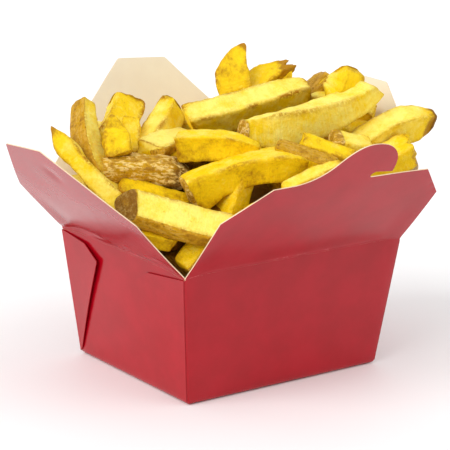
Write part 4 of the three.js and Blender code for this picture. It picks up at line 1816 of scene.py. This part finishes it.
    def _relief(self, fry: Fry, surface: Surface, skin: Array, inner: Array) -> Array:
        """How far each point stands out from the plain section.

        Args:
            fry: The fry.
            surface: Its surface.
            skin: Where it has skin.
            inner: From 0 at its edges to 1 in the middle of its sides.

        Returns:
            The distances.
        """
        steady, varying = self.sunk_range
        dip = self.sunk * (steady + varying * surface.noise(Pattern.DIP))
        push = (self.skin_bulge * skin - dip * (1 - skin)) * inner
        push += self.warp * surface.noise(Pattern.WARP)
        blister, fine = self.blister
        rough = blister * (1 - 0.4 * skin)
        push += rough * (surface.noise(Pattern.BLISTER) + fine * surface.noise(Pattern.FINE_BLISTER))
        folds = 0.5 - np.abs(surface.drawn_out(Pattern.FOLD)) + 0.4 * surface.drawn_out(Pattern.FINE_FOLD)
        push += skin * fry.wrinkle * self.skin_folds * folds
        if fry.ridged:
            wavy = surface.place[:, 0] + self.ridge_swing * surface.noise(Pattern.RIDGE)
            push += fry.ridged * np.abs(np.sin(wavy * math.pi / self.ridge_spacing))
        return push

    def _slide(self, fry: Fry, surface: Surface, section: Sequence[Array],
               slants: tuple[float, ...]) -> Array:
        """How far each point moves along the fry: slanting, uneven and torn ends.

        Args:
            fry: The fry.
            surface: Its surface.
            section: Distances from the middle across its width and its depth.
            slants: How its ends slant if the fry doesn't say.

        Returns:
            The distances.
        """
        across, high = section
        near_start, near_finish = (np.exp(-distance / self.slant_reach) for distance in surface.ends)
        slants = fry.slants or slants
        slide = near_start * (slants[0] * across + slants[1] * high)
        slide = slide - near_finish * (slants[2] * across + slants[3] * high)
        slide += (near_start + near_finish) * self.end_unevenness * surface.noise(Pattern.END_FACE)
        torn = surface.drawn_out(Pattern.TEAR) + 0.5 * surface.drawn_out(Pattern.FINE_TEAR)
        slide += fry.ragged * torn * np.exp(-surface.ends[1] / self.torn_reach)
        return slide

    def _carried(self, fry: Fry, share: Array, slide: Array, section: Sequence[Array],
                 seed: int) -> Array:
        """Carries the section along the fry's bent middle line.

        Args:
            fry: The fry.
            share: How far along it each point is.
            slide: How far each point has moved along it.
            section: Distances from the middle across its width and its depth.
            seed: Which pattern it gets.

        Returns:
            The points.
        """
        along, length, sideways, upwards = fry.axes()
        bend = 4 * share * (1 - share)
        line = np.column_stack([share * length, np.zeros((len(share), 2))])
        rise = fry.arch * bend + self.bend * Pattern.RISE.at(line, seed)
        swing = fry.sway * bend + self.bend * Pattern.SWING.at(line, seed)
        centre = np.array(fry.start, float) + np.outer(share * length + slide, along)
        centre += np.outer(rise, upwards) + np.outer(swing, sideways)
        slope = 4 * (1 - 2 * share) / length
        tangent = along + np.outer(fry.arch * slope, upwards) + np.outer(fry.sway * slope, sideways)
        tangent /= np.linalg.norm(tangent, axis=1)[:, None]
        side = np.cross(tangent, upwards)
        side /= np.linalg.norm(side, axis=1)[:, None]
        up = np.cross(side, tangent)
        roll = np.radians(fry.roll + fry.twist * (share - 0.5))
        across, high = section
        beside = -across * np.cos(roll) - high * np.sin(roll)
        above = -across * np.sin(roll) + high * np.cos(roll)
        return centre + side * beside[:, None] + up * above[:, None]

    def _edge(self, fry: Fry, surface: Surface, rim: Array, largest: Array) -> Array:
        """How brown the edges and the rims of the ends are.

        Args:
            fry: The fry.
            surface: Its surface.
            rim: Where the long edges are.
            largest: Distances from the section's middle, 1 at its outside.

        Returns:
            The mask.
        """
        at_ends = np.maximum(*(np.exp(-distance / self.end_rim_reach) for distance in surface.ends))
        steady, varying = self.rim_range
        rim = np.maximum(rim, self.end_rim * at_ends * largest**self.end_rim_power)
        return np.clip(rim * (steady + varying * surface.noise(Pattern.RIM)) * fry.rimmed, 0, 1)

    def _tone(self, fry: Fry, surface: Surface) -> Array:
        """How deeply each point is fried, at browned ends and in some patches, with painted shade that
        deepens its undersides.

        Args:
            fry: The fry.
            surface: Its surface.

        Returns:
            The tone of each point.
        """
        _, _, sideways, upwards = fry.axes()
        roll = math.radians(fry.roll)
        to_a = -(sideways * math.cos(roll) + upwards * math.sin(roll))
        to_b = -sideways * math.sin(roll) + upwards * math.cos(roll)
        facing_up = surface.out[0] * to_a[2] + surface.out[1] * to_b[2]
        # Painted shade: faces turned down get a deeper tone, tops a paler one.
        tone = fry.tone + self.painted_underside_shade * (self.painted_shade_level - facing_up)
        tone = tone + self.patchiness * surface.noise(Pattern.TONE)
        tone = tone + self.end_tone * np.exp(-np.minimum(*surface.ends) / self.end_tone_reach)
        for reach, distance in zip(fry.browned, surface.ends):
            if reach > 0:
                border = distance + self.browning_unevenness * surface.noise(Pattern.BROWNING)
                tone = tone + self.browning * (1 - smoothstep(0.0, reach, border))
        return tone

    def _skin(self, fry: Fry, surface: Surface) -> Array:
        """Where the fry still has its skin, from 0 to 1.

        Args:
            fry: The fry.
            surface: Its surface.

        Returns:
            The mask.
        """
        mask = np.zeros(len(surface.place))
        uneven = surface.noise(Pattern.SKIN_BORDER)
        on_side, at_end = self.skin_unevenness
        out_a, out_b = surface.out
        for side, towards in {"+a": out_a, "-a": -out_a, "+b": out_b, "-b": -out_b}.items():
            if side in fry.skin:
                mask = np.maximum(mask, smoothstep(*self.skin_facing, towards + on_side * uneven))
        for reach, distance in zip((fry.skin_start, fry.skin_finish), surface.ends):
            if reach > 0:
                whole, gone = (reach * share for share in self.skin_wrap)
                mask = np.maximum(mask, 1 - smoothstep(whole, gone, distance + at_end * reach * uneven))
        return mask


@dataclass
class HeapCore:
    """The core that lies under the lowest fries and closes the hollows between them, painted dark as shade.

    Attributes:
        cuts: How many cuts each of its sides has.
        brim: The height up to which it fills the carton.
        sunk: How far it lies under the heap's crown.
        inset: How far it keeps inside the walls.
        masks: What its mesh says to its finish, in the order of FRY_MASKS; its deep tone is painted shade.
    """

    shape: CartonShape
    under: UnderFries
    cuts: int = 24
    brim: float = 57.0
    foot: float = 2.0
    sunk: float = 34.0
    inset: float = 1.6
    lumps: float = 2.5
    lump_grain: float = 9.0
    # Painted shade: the deep tone makes the core dark brown.
    masks: Sequence[float] = (0.3, 0.6, 2.2, 0.0, 0.0)

    def build(self, material: bpy.types.Material) -> bpy.types.Object:
        """Builds the core.

        Args:
            material: Its material.

        Returns:
            The piece.
        """
        bm = bmesh.new()
        bmesh.ops.create_cube(bm, size=2.0)
        bmesh.ops.subdivide_edges(bm, edges=bm.edges[:], cuts=self.cuts, use_grid_fill=True)
        mesh = mesh_of("heap_core", bm)
        flat = coordinates(mesh)
        share = (flat[:, 2] + 1) / 2
        low = self.foot + share * (self.brim - self.foot)
        level = np.minimum(low, self.shape.height)
        x = flat[:, 0] * (self.shape.half(0, level) - self.inset)
        y = flat[:, 1] * (self.shape.half(1, level) - self.inset)
        crown = np.maximum(self.brim, self.under.crown_at(x, y) - self.sunk)
        lump = self.lumps * smooth_noise(np.column_stack([x, y, low]), self.lump_grain, 4) * share
        placed = np.column_stack([x, y, self.foot + share * (crown - self.foot) + lump])
        mesh.vertices.foreach_set("co", placed.astype(np.float32).ravel())
        mesh.update()
        set_attribute(mesh, "local", placed)
        for name, value in zip(FRY_MASKS, self.masks):
            set_attribute(mesh, name, np.full(len(flat), value))
        return object_of("heap_core", mesh, [material])


@dataclass
class Heap:
    """The heap of fries: one joined mesh for each kind, over a core."""

    shape: CartonShape
    under: UnderFries
    form: FryForm = field(default_factory=FryForm)
    fine: FryTemplate = field(default_factory=lambda: FryTemplate(lengths=64, sides=12))
    coarse: FryTemplate = field(default_factory=lambda: FryTemplate(lengths=36, sides=8))
    first_seed: int = 11
    seed_step: int = 10

    def joined(self, kind: Kind, fries: list[tuple[int, Fry]], template: FryTemplate,
               material: bpy.types.Material) -> bpy.types.Object:
        """Joins fries into one mesh.

        Args:
            kind: Which kind they are, which names the piece.
            fries: The fries with their numbers in the heap.
            template: The bar that they are made from.
            material: Their material.

        Returns:
            The piece.
        """
        seeds = [self.first_seed + self.seed_step * number for number, _ in fries]
        shaped = [self.form.shape(fry, template, seed) for seed, (_, fry) in zip(seeds, fries)]
        count = len(template.points)
        quads = np.concatenate([template.quads + count * place for place in range(len(shaped))])
        points = np.concatenate([one["co"] for one in shaped])
        mesh = bpy.data.meshes.new(kind.value)
        mesh.vertices.add(len(points))
        mesh.vertices.foreach_set("co", points.astype(np.float32).ravel())
        mesh.loops.add(quads.size)
        mesh.loops.foreach_set("vertex_index", quads.astype(np.int32).ravel())
        mesh.polygons.add(len(quads))
        mesh.polygons.foreach_set("loop_start", np.arange(0, quads.size, 4, dtype=np.int32))
        mesh.update(calc_edges=True)
        for attribute in ("local", *FRY_MASKS):
            set_attribute(mesh, attribute, np.concatenate([one[attribute] for one in shaped]))
        return object_of(kind.value, mesh, [material])

    def build(self, groups: SharedGroups) -> list[bpy.types.Object]:
        """Builds the heap and makes it stand for the solid fries.

        Args:
            groups: The shared node groups.

        Returns:
            Its pieces.
        """
        top = list(enumerate(TOP_FRIES))
        under = list(enumerate(self.under.build(TOP_FRIES), start=len(top)))
        LOG.info("%d fries on top, %d under them", len(top), len(under))
        of_kind = {kind: [pair for pair in top if pair[1].kind is kind] for kind in (Kind.CUT, Kind.SKIN)}
        # The last finish is painted shade: darker colours for the fries under the top ones and for the core.
        fried, barked, under_shade = (finish.material(groups) for finish in (FRIED, SKIN_ON, PAINTED_SHADE_UNDER))
        pieces = [
            self.joined(Kind.CUT, of_kind[Kind.CUT], self.fine, fried),
            self.joined(Kind.SKIN, of_kind[Kind.SKIN], self.fine, barked),
            self.joined(Kind.UNDER, under, self.coarse, under_shade),
            HeapCore(self.shape, self.under).build(under_shade),
        ]
        for piece in pieces:
            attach(piece, "tray")
            LOG.info("fries piece %s, %d faces", piece.name, len(piece.data.polygons))
        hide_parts("fries")
        return pieces


# ---------------- floor, light and camera


@dataclass(frozen=True)
class SoftLight:
    """A broad, soft, distant light.

    Attributes:
        name: Its name.
        strength: How bright it is.
        spread: How wide it looks from the object, in degrees.
        towards: The way it shines.
    """

    name: str
    strength: float
    spread: float
    towards: Triple


@dataclass
class Studio:
    """A pale floor under soft light, and the camera.

    Attributes:
        azimuth: The camera's azimuth in degrees.
        elevation: Its height over the horizon in degrees.
        roll: How far it is turned about its own line of sight.
        distance: How far it stands from its target.
        target: What it looks at.
        lens: Its focal length.
        sensor: Width of its sensor.
        clip: The nearest and the furthest distance that it sees, in metres.
        floor_size: Half the floor's size in metres.
        sky: Strength of the even light from all round.
        lights: The soft lights.
    """

    azimuth: float = -36.966
    elevation: float = 15.522
    roll: float = 1.458
    distance: float = 1061.2
    target: Triple = (-3.525, 0.0, 68.316)
    lens: float = 176.07
    sensor: float = 36.0
    clip: Pair = (0.05, 50.0)
    floor_size: float = 9.0
    sky: float = 0.78
    lights: tuple[SoftLight, ...] = (
        SoftLight("key", 1.7, 45.0, (1.0, 0.1, -0.8)),
        SoftLight("side", 0.45, 50.0, (-0.4, 0.6, -0.9)),
    )

    def camera(self) -> None:
        """Places the camera."""
        turn, rise = math.radians(self.azimuth), math.radians(self.elevation)
        level_share = math.cos(rise)
        back = Vector((math.sin(turn) * level_share, -math.cos(turn) * level_share, math.sin(rise)))
        level = (-back).cross(Vector((0, 0, 1))).normalized()
        over = level.cross(-back)
        tip = math.radians(self.roll)
        right = level * math.cos(tip) + over * math.sin(tip)
        up = over * math.cos(tip) - level * math.sin(tip)
        data = bpy.data.cameras.new("camera")
        data.lens = self.lens
        data.sensor_width = self.sensor
        data.clip_start, data.clip_end = self.clip
        made = linked("camera", data)
        place = (Vector(self.target) + back * self.distance) * MM
        made.matrix_world = Matrix.Translation(place) @ Matrix((right, up, back)).transposed().to_4x4()
        bpy.context.scene.camera = made

    def floor(self) -> None:
        """Lays the floor."""
        bm = bmesh.new()
        bmesh.ops.create_grid(bm, x_segments=2, y_segments=2, size=self.floor_size)
        mesh = mesh_of("floor", bm)
        mesh.materials.append(FloorFinish().material())
        made = linked("floor", mesh)

    def light(self) -> None:
        """Lights the scene with an even sky and the soft lights."""
        world = bpy.data.worlds.new("studio")
        bpy.context.scene.world = world
        world.use_nodes = True
        sky = world.node_tree.nodes["Background"]
        sky.inputs["Color"].default_value = (1.0, 1.0, 1.0, 1.0)
        sky.inputs["Strength"].default_value = self.sky
        for light in self.lights:
            data = bpy.data.lights.new(light.name, "SUN")
            data.energy = light.strength
            data.angle = math.radians(light.spread)
            made = linked(light.name, data)
            made.rotation_mode = "QUATERNION"
            made.rotation_quaternion = Vector(light.towards).to_track_quat("-Z", "Y")

    def build(self) -> None:
        """Sets up floor, light and camera."""
        self.camera()
        self.floor()
        self.light()
        bpy.context.scene.view_settings.view_transform = "Standard"
        LOG.info("floor, light and camera")


# ---------------- the whole thing


# The crinkles of the front flap's pointed end, and those of the left flap.
TIP_DENTS = (Dent(8.0, 45.0, 2.5, 0.9, 0.4, -40.0), Dent(4.5, 40.0, 2.0, 0.8, 0.4, -60.0))
CREASE_DENTS = (
    Dent(80.0, 2.4, 20.0, 1.5, 1.2, -4.6), Dent(42.0, 8.5, 6.0, 0.9, 0.5, -8.0),
    Dent(15.0, 3.0, 9.0, 1.6, 1.1, 12.6), Dent(46.0, 60.0, 5.0, 4.0, 0.5, 30.0),
)

# How much further the fries' room leans out at the back than the flap, which bows outwards the most.
BACK_ROOM = 1.3


def lid_flaps(shape: CartonShape, board: Board) -> list[LidFlap]:
    """The four flaps.

    Args:
        shape: The carton that they are hinged to.
        board: What they are made of.

    Returns:
        The flaps, not built yet.
    """
    front = LidFlap(shape, board, "front", axis=1, facing=180.0, lean=38.5, bow=1.0, outline=HOOKED_EDGE)
    back = LidFlap(shape, board, "back", axis=1, facing=0.0, lean=20.7, bow=2.4, outline=BACK_EDGE)
    left = LidFlap(shape, board, "left", axis=0, facing=90.0, lean=42.5, bow=1.2, outline=LEFT_EDGE)
    right = LidFlap(shape, board, "right", axis=0, facing=-90.0, lean=15.0, bow=1.2, outline=RIGHT_EDGE)
    front.dents, left.dents = TIP_DENTS, CREASE_DENTS
    back.rounded, left.rounded, right.rounded = 1.2, 0.8, 1.2
    return [front, back, left, right]


def main() -> None:
    """Builds the dressed carton of fries and the studio round it."""
    logging.basicConfig(level=logging.INFO, format="%(name)s: %(message)s")
    groups = SharedGroups()
    shape = CartonShape()
    board = Board()
    board.dress(groups)
    Studio().build()
    Tray(shape, board).build()
    flaps = lid_flaps(shape, board)
    for flap in flaps:
        flap.build()
    lean = {flap.side: flap.lean for flap in flaps}
    lean["back"] += BACK_ROOM
    Heap(shape, UnderFries(shape, lean)).build(groups)


if __name__ == "__main__":
    main()
